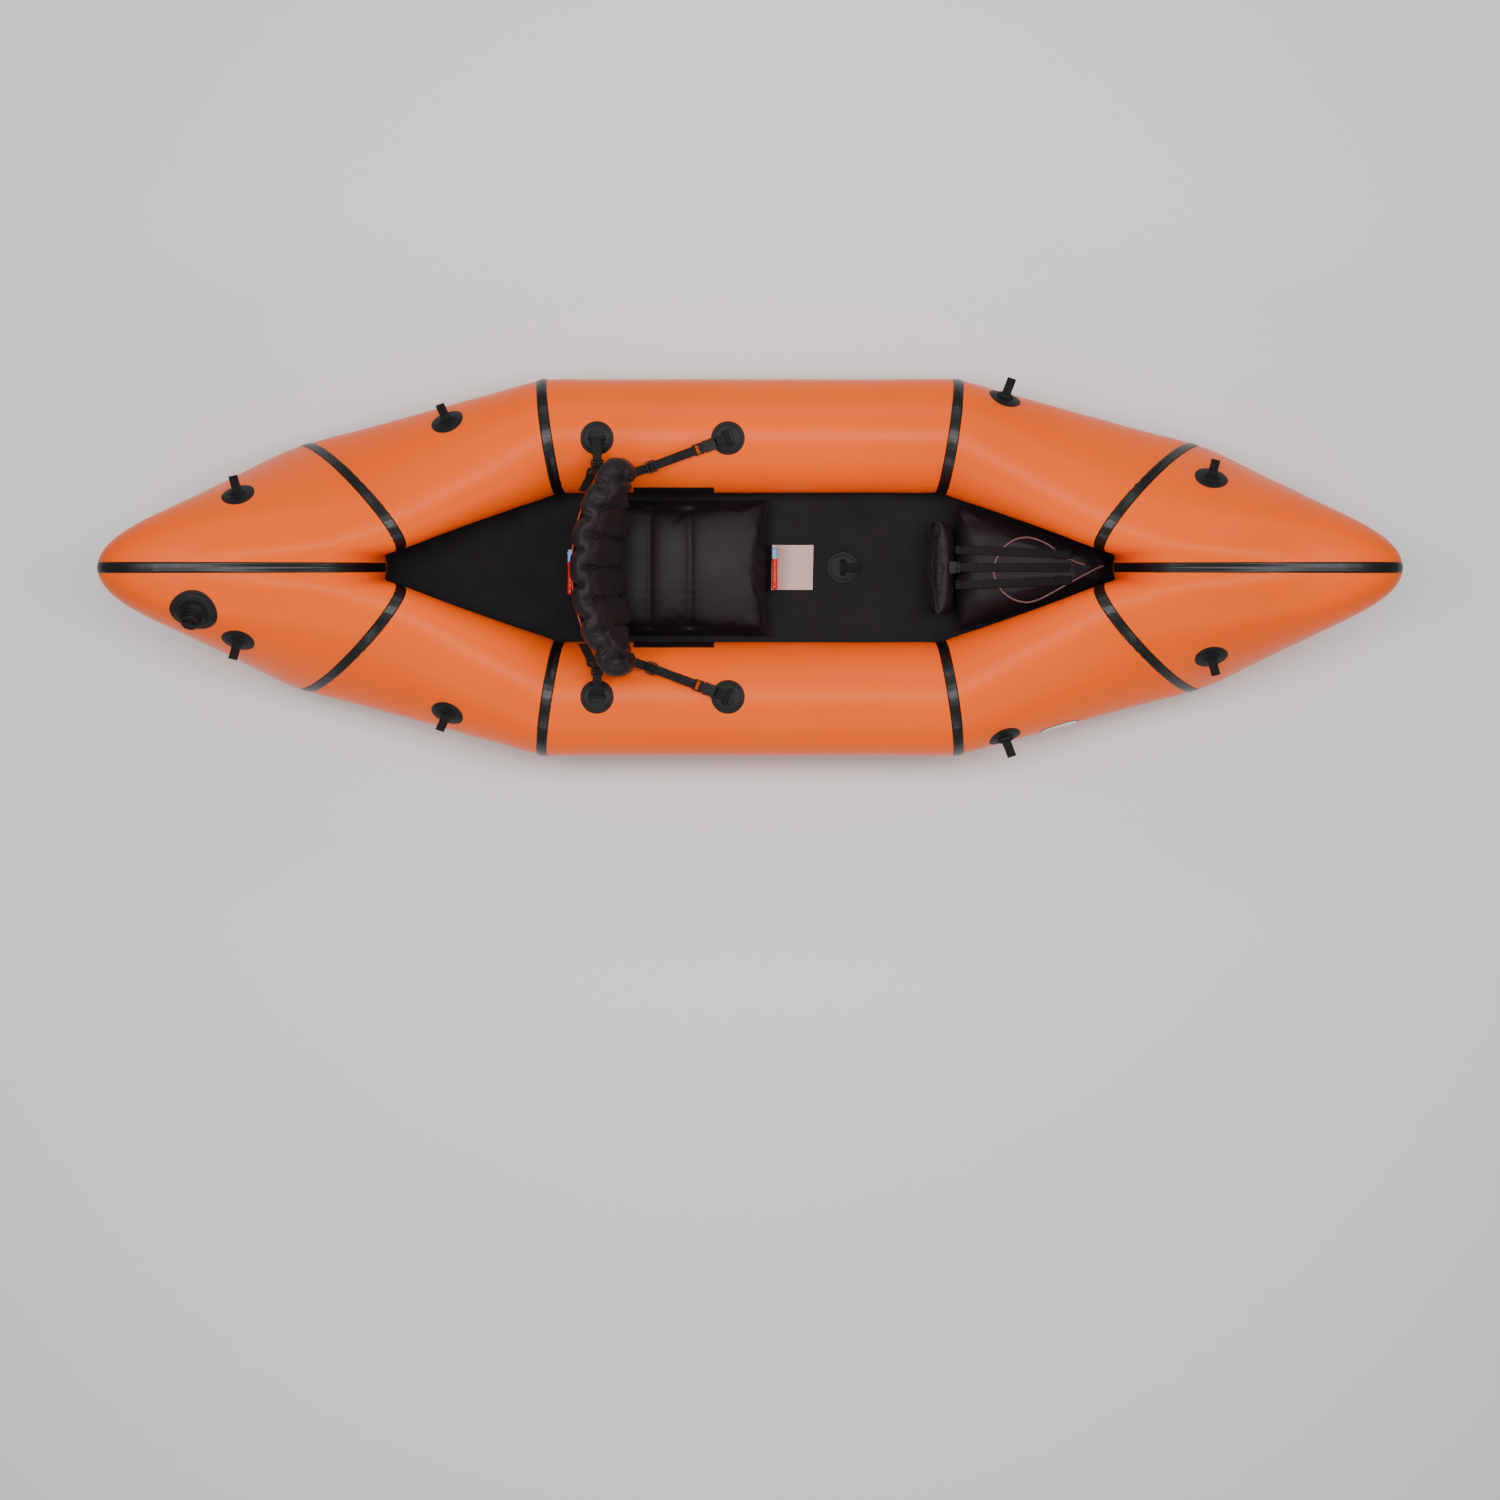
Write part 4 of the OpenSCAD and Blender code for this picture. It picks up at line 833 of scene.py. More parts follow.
def web_loop(origin, axes, reach=GRAB_LENGTH, grip=4.1):
    """Webbing round a bar at the origin, its two layers sewn together beyond it and folded over at the end."""
    phi = np.linspace(-110, 110, 30)
    bar = stack(0, grip * sin_deg(phi), -grip * cos_deg(phi))
    t = np.linspace(0, 1, 30)[1:]
    gape = 0.95 + (grip * 0.94 - 0.95) * (1 - smooth_step(0, 0.28, t))
    up = stack(0, gape, grip * 0.342 + (reach - grip * 0.342) * t)
    fold = np.linspace(0, 180, 9)[1:-1]
    tip = stack(0, 0.95 * cos_deg(fold), reach + 0.95 * sin_deg(fold))
    path = np.concatenate([bar, up, tip, (up * [1, -1, 1])[::-1]])
    along = unit(np.roll(path, -1, 0) - np.roll(path, 1, 0))
    ups = np.cross([1.0, 0, 0], along)
    shell = webbing(path, ups, WEB_W, WEB_T, closed=True)
    shells = [shell]
    for row in (11.0, reach - 4.0):
        for k in np.linspace(-8, 8, 9):
            stitch = rounded_box((k, 0, row), (1.5, 4.1, 0.7), power=2.5, rows=4, sides=8)
            shells.append(stitch)
    for s in shells:
        s.points = origin + s.points @ axes
    return shells


def hull_frame(place, side, height):
    """Origin and local axes of a fitting on the hull: x along the hull, z out of it, height above it."""
    end, s, v = place
    along, across, out, _, _ = hull_axes(np.float64(s), np.float64(v), end)
    origin = hull_surface(s, v, end) + height * out
    axes = np.stack([along, across, out])
    flip = np.array([end, side, 1.0])
    return origin * flip, axes * flip


def turned(axes, angle):
    """The same axes turned about the third one."""
    c, s = cos_deg(angle), sin_deg(angle)
    return np.stack([c * axes[0] + s * axes[1], -s * axes[0] + c * axes[1], axes[2]])


def strap_place(which):
    x, turn = STRAP_PLACES[which]
    return (-1, x / SEAM_X - 1, STRAP_V), turn


FLOOR_AXES = np.array([[0.0, 1, 0], [-1, 0, 0], [0, 0, 1]])


def all_patches():
    """Every disc and bridge, as two lists of shells."""
    discs, bridges = [], []
    for place in GRAB_PLACES.values():
        for side in (1, -1):
            discs.append(patch_disc(place[1], place[2], place[0]).at(place[0], side))
            bridges += bridge_shells(*hull_frame(place, side, BAR_H))
    for which in STRAP_PLACES:
        place, turn = strap_place(which)
        for side in (1, -1):
            discs.append(patch_disc(place[1], place[2], -1, turn=turn).at(-1, side))
            origin, axes = hull_frame(place, side, BAR_H)
            bridges += bridge_shells(origin, turned(axes, turn))
    flat = patch_profile_flat()
    discs.append(flat)
    bridges += bridge_shells(np.array([FLOOR_PATCH_X, 0, FLOOR_TOP + BAR_H - 0.6]), FLOOR_AXES)
    return discs, bridges


def patch_profile_flat():
    """The same disc lying flat on the floor sheet."""
    radius = np.array([1.0, 1.0, 0.985, 0.95, 0.92, 0.88, 0.82, 0.79, 0.76, 0.5, 0.25, 0.02]) * 37.5
    height = np.array([0.2, 0.4, 1.0, 1.25, 1.55, 1.25, 1.4, 2.0, 2.4, 2.4, 2.4, 2.4]) + FLOOR_TOP
    profile = np.stack([np.concatenate([[0.5], radius]), np.concatenate([[FLOOR_TOP + 0.2], height])], -1)
    return lathe(profile, np.array([FLOOR_PATCH_X, 0, 0]), np.eye(3))


# ---------- operators ----------
def new_light(name, size, power, place, aim, tint=(1, 1, 1)):
    """Square soft light that shines from its place towards a point."""
    lamp = bpy.data.lights.new(name, "AREA")
    lamp.shape = "RECTANGLE"
    lamp.size, lamp.size_y = size
    lamp.energy = power
    lamp.color = tint
    holder = bpy.data.objects.new(name, lamp)
    holder.location = place
    holder.rotation_euler = (Vector(aim) - Vector(place)).to_track_quat("-Z", "Y").to_euler()
    bpy.context.scene.collection.objects.link(holder)


class KAYAK_OT_stage(bpy.types.Operator):
    """Pale floor, soft studio lights and the camera straight above the kayak"""
    bl_idname = "kayak.stage"
    bl_label = "Stage"

    def execute(self, context):
        look = context.scene.kayak_stage
        x = np.linspace(-40, 40, 9)
        points = stack(x[:, None], x[None, :], 0).reshape(-1, 3)
        mesh = bpy.data.meshes.new("floor")
        mesh.from_pydata(points.tolist(), [], grid_faces(9, 9, close_columns=False).tolist())
        floor = bpy.data.objects.new("studio_floor", mesh)
        context.scene.collection.objects.link(floor)
        paint = Finish("pale_floor", 0.9, specular=0.05)
        paint.shader.inputs["Base Color"].default_value = (0.95, 0.95, 0.95, 1)
        mesh.materials.append(paint.material)
        world = bpy.data.worlds.new("studio")
        world.use_nodes = True
        sky = next(n for n in world.node_tree.nodes if n.type == "BACKGROUND")
        sky.inputs["Color"].default_value = (1, 1, 1, 1)
        sky.inputs["Strength"].default_value = 0.34
        context.scene.world = world
        new_light("overhead_softbox", (3.6, 0.6), look.key_power * 1.25, (0.0, 0.2, 2.9), (0, 0, 0.2))
        new_light("port_softbox", (4.4, 0.7), look.key_power * 0.6, (0.2, 2.9, 2.6), (0, 0, 0.2))
        new_light("starboard_softbox", (4.4, 0.7), look.key_power * 0.6, (-0.2, -2.9, 2.6), (0, 0, 0.2))
        lens = bpy.data.cameras.new("plan_camera")
        lens.lens = 51.4
        lens.sensor_width = 36.0
        lens.shift_y = -0.1217
        lens.clip_end = 100
        camera = bpy.data.objects.new("plan_camera", lens)
        camera.location = (0, 0, look.camera_height)
        context.scene.collection.objects.link(camera)
        context.scene.camera = camera
        return {"FINISHED"}


class KAYAK_OT_hull_panels(bpy.types.Operator):
    """Eight inflated panels: two side tubes, four quarter tubes and the end cones"""
    bl_idname = "kayak.hull_panels"
    bl_label = "Hull panels"

    def execute(self, context):
        cloth = finish("hull_fabric")
        side_panel = side_tube_panel()
        for side, word in ((1, "port"), (-1, "starboard")):
            make_piece(f"side_tube_panel_{word}", [side_panel.at(1, side)], cloth, "hull",
                       [f"side_tube_{word}"])
        for end, place in ((-1, "stern"), (1, "bow")):
            quarter = quarter_panel(end)
            for side, word in ((1, "port"), (-1, "starboard")):
                make_piece(f"{place}_quarter_panel_{word}", [quarter.at(end, side)], cloth, "hull",
                           [f"{place}_quarter_tube_{word}"])
            make_piece(f"{place}_cone_panel", [cone_panel(end).at(end)], cloth, "hull",
                       [f"{place}_cone"])
        return {"FINISHED"}


class KAYAK_OT_seam_tapes(bpy.types.Operator):
    """Welded tapes round the middle and end seams and along both centrelines"""
    bl_idname = "kayak.seam_tapes"
    bl_label = "Seam tapes"

    def execute(self, context):
        tape = finish("seam_tape")
        corners = [(end, side) for end in (1, -1) for side in (1, -1)]
        for name, s, node in (("middle_seam_tape_bands", 0.0, "mid_seam_tapes"),
                              ("end_seam_tape_bands", 1.0, "end_seam_tapes")):
            make_piece(name, [ring_tape(s, *c) for c in corners], tape, "hull", [node])
        for end, place in ((-1, "stern"), (1, "bow")):
            make_piece(f"{place}_centreline_tape", [centre_tape(end)], tape, "hull",
                       [f"{place}_centre_tape"])
        return {"FINISHED"}


class KAYAK_OT_floor(bpy.types.Operator):
    """Floor sheet lapped under the tubes"""
    bl_idname = "kayak.floor"
    bl_label = "Floor sheet"

    def execute(self, context):
        make_piece("welded_floor_sheet", [floor_shell()], finish("floor_fabric"), "hull",
                   ["floor_sheet"], sharp=50)
        return {"FINISHED"}


class KAYAK_OT_patches(bpy.types.Operator):
    """Round welded patches with their moulded bridges"""
    bl_idname = "kayak.patches"
    bl_label = "Patches and bridges"

    def execute(self, context):
        discs, bridges = all_patches()
        rubber = finish("patch_rubber")
        make_piece("welded_patch_discs", discs, rubber, "hull", ["patch_discs"])
        make_piece("moulded_bridges", bridges, rubber, "hull", ["patch_bridges"])
        return {"FINISHED"}


class KAYAK_OT_grab_loops(bpy.types.Operator):
    """Eight sewn grab loops on the hull and one on the floor"""
    bl_idname = "kayak.grab_loops"
    bl_label = "Webbing loops"

    def execute(self, context):
        cloth = finish("webbing")
        for key, place in GRAB_PLACES.items():
            for side, word in ((1, "port"), (-1, "starboard")):
                node = f"grab_loop_{key}_{word}"
                make_piece(f"sewn_{node}", web_loop(*hull_frame(place, side, BAR_H)), cloth, node, [node])
        c, s = cos_deg(70), sin_deg(70)
        axes = np.array([[0.0, 1, 0], [-c, 0, s], [s, 0, c]])
        origin = np.array([FLOOR_PATCH_X, 0, FLOOR_TOP + BAR_H - 0.6])
        make_piece("sewn_floor_loop", web_loop(origin, axes), cloth, "floor_loop", ["floor_loop"])
        return {"FINISHED"}


# ---------- cushions ----------
SEAT_X = (-368.0, 50.0)
SEAT_HALF = COCKPIT_HALF - 8
SEAT_H = 82.0
SEAT_CHANNELS = (-233.0, -139.0)
FOOT_AFT = SEAM_X + 22
FOOT_LENGTH = 345.0
FOOT_H = 124.0
BOLSTER_D = 58.0
BOLSTER_X = FOOT_AFT - BOLSTER_D / 2 - 6
BOLSTER_HALF = 107.0


def pillow(place, rows, columns, fullness=3.2, flat_low=1.8):
    """Two cloths joined round a rim. Each is a height over a square from -1 to 1: a product of two curves that
    fall to nothing at the rim. The lower cloth reaches its full depth sooner, so that it lies flat."""
    a = np.sin(np.linspace(-1, 1, rows) * math.pi / 2)[:, None] * np.ones((1, columns))
    b = np.sin(np.linspace(-1, 1, columns) * math.pi / 2)[None, :] * np.ones((rows, 1))
    rise = ((1 - np.abs(a) ** fullness) * (1 - np.abs(b) ** fullness)) ** 0.5
    upper = place(a, b, rise)
    lower = place(a, b, -np.minimum(1, rise * flat_low))
    faces = grid_faces(rows, columns, close_columns=False)
    n = rows * columns
    points = np.concatenate([upper.reshape(-1, 3), lower.reshape(-1, 3)])
    return Shell(points, faces.tolist() + (faces[:, ::-1] + n).tolist())


def seat_place(a, b, rise):
    """Seat: its sides pull in between the corners, and its rim lies a little below the middle."""
    x = (SEAT_X[0] + SEAT_X[1]) / 2 + a * (SEAT_X[1] - SEAT_X[0]) / 2 * (1 - 0.035 * (1 - b**4))
    y = b * SEAT_HALF * (1 - 0.02 * (1 - a**4))
    rim = BASE_Z + 0.44 * SEAT_H
    z = np.where(rise > 0, rim + (BASE_Z + SEAT_H - 5 - rim) * rise, rim + (rim - BASE_Z - 3) * rise)
    return stack(x, y, z)


def foot_half_width(x):
    inner0, inner1 = mid_ring(180.0), end_ring(180.0)
    slope = (inner0[1] - inner1[1]) / (inner1[0] - inner0[0])
    return COCKPIT_HALF - 9 - np.maximum(0, x - inner0[0]) * slope


def foot_top(x):
    """Height of the foot cushion's top along its length, before it rounds off."""
    u = np.clip((x - FOOT_AFT) / FOOT_LENGTH, 0, 1)
    half = FOOT_H / 2 * (1 - 0.1 * u)
    return BASE_Z + half * (2 - 0.45 * np.abs(2 * u - 1) ** 8)


def foot_place(a, b, rise):
    """Foot cushion: a wedge in plan that fills the cockpit's point, full at the aft end."""
    x = FOOT_AFT + (a + 1) / 2 * FOOT_LENGTH
    pull = 1 - 0.03 * (1 - a**4)
    y = b * foot_half_width(x) * pull
    top = BASE_Z + FOOT_H * (1 - 0.1 * (a + 1) / 2) - 4
    rim = BASE_Z + 0.5 * FOOT_H
    z = np.where(rise > 0, rim + (top - rim) * rise, rim + (rim - BASE_Z - 3) * rise)
    return stack(x + 5 * (1 - b**2) * (np.abs(a) > 0.999) * -np.sign(a), y, z)


def bolster_place(a, b, rise):
    """Bolster: a tall narrow pad across the cockpit whose rim seam is drawn to its aft side."""
    y = a * BOLSTER_HALF * (1 - 0.02 * (1 - b**4))
    z = BASE_Z + FOOT_H / 2 + b * (FOOT_H / 2 - 1) * (1 - 0.03 * (1 - a**4))
    rim = BOLSTER_X - 0.66 * BOLSTER_D / 2
    fore, aft = BOLSTER_X + BOLSTER_D / 2 - 3, BOLSTER_X - BOLSTER_D / 2 + 1
    x = np.where(rise > 0, rim + (fore - rim) * rise**0.8, rim + (rim - aft) * rise)
    return stack(x, y, z)


def corner_pleats(points, corners, reach, depth, count):
    """Creases that run out from each corner: a cosine of the angle round it, fading with distance."""
    lift = np.zeros(len(points))
    for k, corner in enumerate(corners):
        d = points[:, :2] - np.asarray(corner)
        r = np.linalg.norm(d, axis=1)
        angle = np.arctan2(d[:, 1], d[:, 0])
        ridge = 1 - 2 * np.abs(np.sin(angle * count / 2 + 0.7 * k)) ** 0.7
        lift += depth * ridge * smooth_step(0, 16, r) * np.exp(-r / reach)
    return lift


def mesh_points(piece):
    co = np.zeros(len(piece.data.vertices) * 3)
    piece.data.vertices.foreach_get("co", co)
    return co.reshape(-1, 3) * 1000 - [0, 0, FIN_DEPTH]


def set_mesh_points(piece, points):
    piece.data.vertices.foreach_set("co", ((points + [0, 0, FIN_DEPTH]) / 1000).ravel())
    piece.data.update()


def mesh_normals(piece):
    no = np.zeros(len(piece.data.vertices) * 3, np.float32)
    piece.data.vertices.foreach_get("normal", no)
    return no.reshape(-1, 3).astype(float)


def blow_up(piece, cap, stiffness=18.0, share=1.0):
    """Inflates a closed cloth with Blender's Cloth, and keeps each point within the cap of where it started."""
    air = bpy.context.scene.kayak_air
    scene = bpy.context.scene
    start = mesh_points(piece)
    cloth = piece.modifiers.new("Air", "CLOTH")
    cloth.point_cache.frame_start, cloth.point_cache.frame_end = 1, air.frames
    s = cloth.settings
    s.quality = 6
    s.mass = 0.25
    s.tension_stiffness = s.compression_stiffness = stiffness
    s.shear_stiffness = 6
    s.bending_stiffness = 0.15
    s.use_pressure = True
    s.uniform_pressure_force = air.pressure * share
    s.effector_weights.gravity = 0
    for number in range(1, air.frames + 1):
        scene.frame_set(number)
    solved = piece.evaluated_get(bpy.context.evaluated_depsgraph_get())
    co = np.zeros(len(solved.data.vertices) * 3)
    solved.data.vertices.foreach_get("co", co)
    moved = co.reshape(-1, 3) * 1000 - [0, 0, FIN_DEPTH] - start
    piece.modifiers.remove(cloth)
    scene.frame_set(1)
    size = np.linalg.norm(moved, axis=1, keepdims=True)
    moved *= np.minimum(1, cap / np.maximum(size, 1e-9))
    set_mesh_points(piece, start + np.nan_to_num(moved))


def fit_box(points, low, high):
    """Scales a cushion on each axis to exactly fill its room."""
    a, b = points.min(0), points.max(0)
    return np.asarray(low) + (points - a) / (b - a) * (np.asarray(high) - np.asarray(low))


def round_off(piece):
    smooth = piece.modifiers.new("Smooth", "SUBSURF")
    smooth.levels = smooth.render_levels = 1


def soft_piece(name, shell, hides, body="hull"):
    piece = make_piece(name, [shell], finish("seat_fabric"), None, merge=2e-5)
    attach(piece, body)
    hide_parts(*hides)
    return piece


class KAYAK_OT_seat(bpy.types.Operator):
    """Inflated seat with two welded channels, its side bands, oral valve and blank care tag"""
    bl_idname = "kayak.seat"
    bl_label = "Seat"

    def execute(self, context):
        seat = soft_piece("inflated_seat", pillow(seat_place, 84, 68), ["seat_cushion"])
        blow_up(seat, 13)
        points = fit_box(mesh_points(seat), (SEAT_X[0], -SEAT_HALF, BASE_Z), (SEAT_X[1], SEAT_HALF, BASE_Z + SEAT_H))
        set_mesh_points(seat, points)
        out = mesh_normals(seat)
        x, y = points[:, 0], points[:, 1]
        top = smooth_step(0.0, 0.6, out[:, 2])
        depth = context.scene.kayak_air.channel_depth
        drop = 0.0
        for at in SEAT_CHANNELS:
            ends = smooth_step(-148, -136, y) * (1 - smooth_step(132, 144, y))
            drop = drop + ends * (0.62 * depth * bell(x, at, 19) + 0.5 * depth * bell(x, at, 3.2))
            drop = drop - ends * 0.8 * np.exp(-np.abs(x - at) / 15) * ripples(y, 71, 0.22, 0.5)
        corners = [(cx, cy) for cx in SEAT_X for cy in (-SEAT_HALF, SEAT_HALF)]
        pleats = corner_pleats(points, corners, 38, 4.8, 9) * smooth_step(-0.2, 0.4, out[:, 2])
        edge = np.exp(-np.abs(SEAT_X[1] - x) / 22) * ripples(y, 72, 0.1, 0.26) * 1.5
        points[:, 2] -= top * drop
        points += out * (pleats + edge * smooth_step(-0.5, 0.3, out[:, 2]))[:, None]
        points[:, 2] = np.maximum(points[:, 2], BASE_Z)
        set_mesh_points(seat, points)
        round_off(seat)
        bands = []
        for side in (1, -1):
            v = 157 + np.linspace(0, 41, 30)
            x = np.linspace(-264, -82, 40)[:, None]
            r = TUBE_R + 1.2 + 0.25 * lumps(stack(x, v[None, :] * 2, 0), 73, 60)
            outer = stack(x, TUBE_Y + r * cos_deg(v), TUBE_R + r * sin_deg(v))
            inner = stack(x, TUBE_Y + (r - 0.9) * cos_deg(v), TUBE_R + (r - 0.9) * sin_deg(v))
            rings = np.concatenate([outer, inner[:, ::-1]], axis=1)
            bands.append(tube_shell(rings, rings[..., [0, 2]] / 1000).at(1, side))
        make_piece("seat_fastening_bands", bands, finish("floor_fabric"), "hull",
                   ["seat_side_bands"], sharp=40)
        mouth = np.array([SEAT_X[1] + 7.3, -42, 54])
        oral_valve("seat_oral_valve", mouth, "hull", "seat_valve_tip", "seat_valve_tube")
        route = [[0.5, 38], [9, 31], [20, 17], [38, 5], [62, 1.4], [98, 0.8]]
        line = curve_through([[SEAT_X[1] + p, q] for p, q in route], 60)
        b = np.linspace(-1, 1, 31)
        curl = 1.6 * smooth_step(0.4, 1, np.abs(b))[None, :] * smooth_step(0.35, 1, np.linspace(0, 1, 60))[:, None]
        tag_y = b[None, :] * 52.5 * (1 + 0 * curl)
        z = BASE_Z + line[:, 1, None] + curl + 0.25 * ripples(line[:, 0, None] + 0.6 * tag_y, 74, 0.03, 0.12)
        upper = stack(line[:, 0, None] + 0.02 * tag_y, tag_y, z)
        rings = np.concatenate([upper, (upper - [0, 0, 0.5])[:, ::-1]], axis=1)
        tag = make_piece("blank_care_tag", [tube_shell(rings)], finish("tag_cloth"), "hull",
                         ["care_tag"], sharp=60)
        return {"FINISHED"}


def oral_valve(name, mouth, body, tip_body, node):
    """Soft tube with a bent foot and a collar, and a push-pull tip with a grip ring and a small bore."""
    length = 62.0
    path = curve_through([[mouth[0] - 1.0, mouth[1] - 4.5, mouth[2] - 4.0], [mouth[0], mouth[1] - 1, mouth[2] - 1],
                          mouth + [0, 9, 0], mouth + [0, 30, 0], mouth + [0, length, 0]], 50)
    walk = np.linspace(0, 1, 50)
    swell_at = 1 + 0.12 * bell(walk, 0.97, 0.03) + 0.06 * bell(walk, 0.2, 0.06) - 0.08 * bell(walk, 0.6, 0.3)
    tube = sweep(path, round_section(6.3, 28), [0, 0, 1], scale=swell_at)
    foot = rounded_box(mouth + [0, -3, -1], (13.4, 13, 13), power=3.0, sides=32)
    make_piece(name, [tube, foot], finish("mouth_tube_plastic"), body, [node])
    axes = np.array([[1.0, 0, 0], [0, 0, 1], [0, 1, 0]])
    profile = [[0.4, 0.3], [5.6, 0.3], [6.0, 0.8], [6.0, 15], [6.3, 17.2], [6.9, 18.6], [6.9, 21.2], [6.2, 22.4],
               [5.4, 23], [5.2, 25.6], [4.6, 27], [2.6, 27.2], [2.2, 26.6], [2.2, 20], [0.3, 19.6]]
    tip = lathe(profile, mouth + [0, length, 0], axes,
                ribs=lambda a, h: 0.16 * np.cos(np.radians(a) * 14) * (h > 2) * (h < 14), sides=84)
    make_piece(name + "_tip", [tip], finish("mouth_tip_plastic"), tip_body,
               [node.replace("_tube", "_tip")], sharp=40)


# ---------- backrest ----------
BACK_X = 36.0
BACK_R = 360.0
BACK_T = 70.0
BACK_TOP = 428.0
BACK_LEAN = math.tan(math.radians(7))
BACK_BOTTOM = BASE_Z + SEAT_H - 2
HINGE_X, HINGE_Z = BACK_X - BACK_R, BACK_BOTTOM + BACK_T / 2
SWING_MAX = math.degrees(math.asin(230 / BACK_R))
WING_BOTTOM = 2 * TUBE_R + 9
AFT_SEAMS = (-28.35, -17.0, -5.67, 5.67, 17.0, 28.35)
FORE_SEAMS = (-34.0, -22.7, -11.35, 0.0, 11.35, 22.7, 34.0)


def back_point(f, r, z):
    """Point of the backrest at swing f in degrees, radius r and height z, leaning back."""
    return stack(BACK_X - r * cos_deg(f) - (z - HINGE_Z) * BACK_LEAN, r * sin_deg(f), z)


def back_heights(f):
    t = np.abs(f)
    low = BACK_BOTTOM + (WING_BOTTOM - BACK_BOTTOM) * np.clip((t - 21) / 8.5, 0, 1)
    high = BACK_TOP - 42 * np.clip((t - 21) / (SWING_MAX - 21), 0, 1)
    return low, high


def seam_pinch(f, seams, width):
    return sum(bell(f, at, width) for at in seams)


def backrest_shell():
    """Rounded slab bent round a vertical axis: its half thickness is pinched at each seam and full between."""
    t = np.linspace(-1, 1, 200)
    f = (t * SWING_MAX)[:, None]
    angle = (np.arange(110) * 360 / 110)[None, :]
    low, high = back_heights(f)
    end = (1 - np.abs(t) ** 14)[:, None] ** 0.5 * 0.96 + 0.04
    cx, cz = power_wave(angle, 3.4)
    aft = smooth_step(-0.25, 0.25, cx)
    pinch = aft * seam_pinch(f, AFT_SEAMS, 0.9) + (1 - aft) * 0.9 * seam_pinch(f, FORE_SEAMS, 0.9)
    full = (0.05 * aft - 0.07 * (1 - aft)) * np.cos(np.radians(f) * 360 / 11.35)
    wing = smooth_step(27, 34, np.abs(f))
    thick = (BACK_T / 2 - 2.5) * cx * (1 - 0.27 * pinch + full + 0.16 * wing)
    mid, half = (low + high) / 2, (high - low) / 2 - 4
    z = mid + half * cz * (0.5 + 0.5 * end)
    arch = seam_pinch(f, AFT_SEAMS, 1.1) * aft + seam_pinch(f, FORE_SEAMS, 1.2) * (1 - aft)
    top = smooth_step(0.3, 0.95, cz)
    tufts = np.exp(-(((cx + 0.55) / 0.16) ** 2)) * (0.2 + 0.8 * seam_pinch(f, FORE_SEAMS, 2.2))
    z = z - 8 * arch * top - 14 * top * tufts
    ring = back_point(f + 0 * angle, BACK_R + thick * end, z)
    return tube_shell(ring)


def sewn_strip(path, ups, width=WEB_W, rows=6):
    """Webbing along a smooth path, evenly sampled."""
    fine = curve_through(path, max(12, len(path) * rows))
    grid = np.linspace(0, 1, len(path))
    up = np.stack([np.interp(np.linspace(0, 1, len(fine)), grid, np.asarray(ups, float)[:, k]) for k in range(3)], -1)
    return webbing(fine, unit(up), width)


class KAYAK_OT_backrest(bpy.types.Operator):
    """Quilted inflated backrest with its aft panel, piping and oral valve"""
    bl_idname = "kayak.backrest"
    bl_label = "Backrest"

    def execute(self, context):
        rest = soft_piece("quilted_backrest", backrest_shell(), ["backrest_cushion"], "backrest")
        blow_up(rest, 6, 30.0, 0.6)
        points = mesh_points(rest)
        out = mesh_normals(rest)
        f = np.degrees(np.arctan2(points[:, 1], BACK_X - points[:, 0]))
        radius = np.hypot(points[:, 1], BACK_X - points[:, 0] - (points[:, 2] - HINGE_Z) * BACK_LEAN)
        aft = smooth_step(-4, 4, radius - BACK_R)
        crease = 0.0
        for seams, share in ((AFT_SEAMS, aft), (FORE_SEAMS, 1 - aft)):
            for k, at in enumerate(seams):
                away = np.abs(f - at)
                crease = crease + share * (2.6 * np.exp(-away / 1.9) * ripples(points[:, 2], 81 + k, 0.1, 0.32)
                                           - 2.6 * bell(away, 0, 0.55))
        crease = crease + 1.3 * lumps(points, 82, 38)
        points += out * crease[:, None]
        low, high = (-1e9, -1e9, BACK_BOTTOM - 1), (1e9, 1e9, BACK_TOP + 4)
        set_mesh_points(rest, np.clip(points, low, high))
        round_off(rest)
        near = BACK_R + BACK_T / 2 - 1.5
        f = np.linspace(-20, 20, 70)[:, None]
        z = np.linspace(BACK_BOTTOM + 30, BACK_TOP - 34, 60)[None, :]
        belly = 2.2 * np.cos(np.radians(f) * 360 / 11.35) + 1.0 * lumps(stack(f * 6, z, 0), 83, 60)
        lean_in = 9 * smooth_step(BACK_TOP - 70, BACK_TOP - 30, z)
        far = back_point(f, near + 3.4 + np.clip(belly, -1.6, 2.4) - lean_in, z)
        close = back_point(f, near - lean_in + 0 * f, z)
        rings = np.concatenate([far, close[:, ::-1]], axis=1)
        make_piece("backrest_aft_panel", [tube_shell(rings, rings[..., 1:] / 1000)], finish("floor_fabric"), "backrest",
                   ["backrest_panel"], sharp=50)
        t = np.linspace(0, 1, 40)
        lo, hi = BACK_BOTTOM + 31, BACK_TOP - 35
        t = t[:-1]
        swing = np.concatenate([-20 + 40 * t, 20 + 0 * t, 20 - 40 * t, -20 + 0 * t])
        level = np.concatenate([hi + 0 * t, hi - (hi - lo) * t, lo + 0 * t, lo + (hi - lo) * t])
        ring = back_point(swing, near + 3.2 - 9 * smooth_step(BACK_TOP - 70, BACK_TOP - 30, level), level)
        hub = np.array([BACK_X, 0, 0])
        ups = unit((ring - hub) * [1, 1, 0])
        trims = [sweep(ring, round_section(1.3, 10), ups, closed=True)]
        make_piece("backrest_piping", trims, finish("piping"), "backrest")
        mouth = back_point(0.0, BACK_R + BACK_T / 2 + 4.4 + 7, 315.0) + [0, -50, 0]
        oral_valve("backrest_oral_valve", mouth, "backrest", "backrest_valve_tip", "backrest_valve_tube")
        return {"FINISHED"}


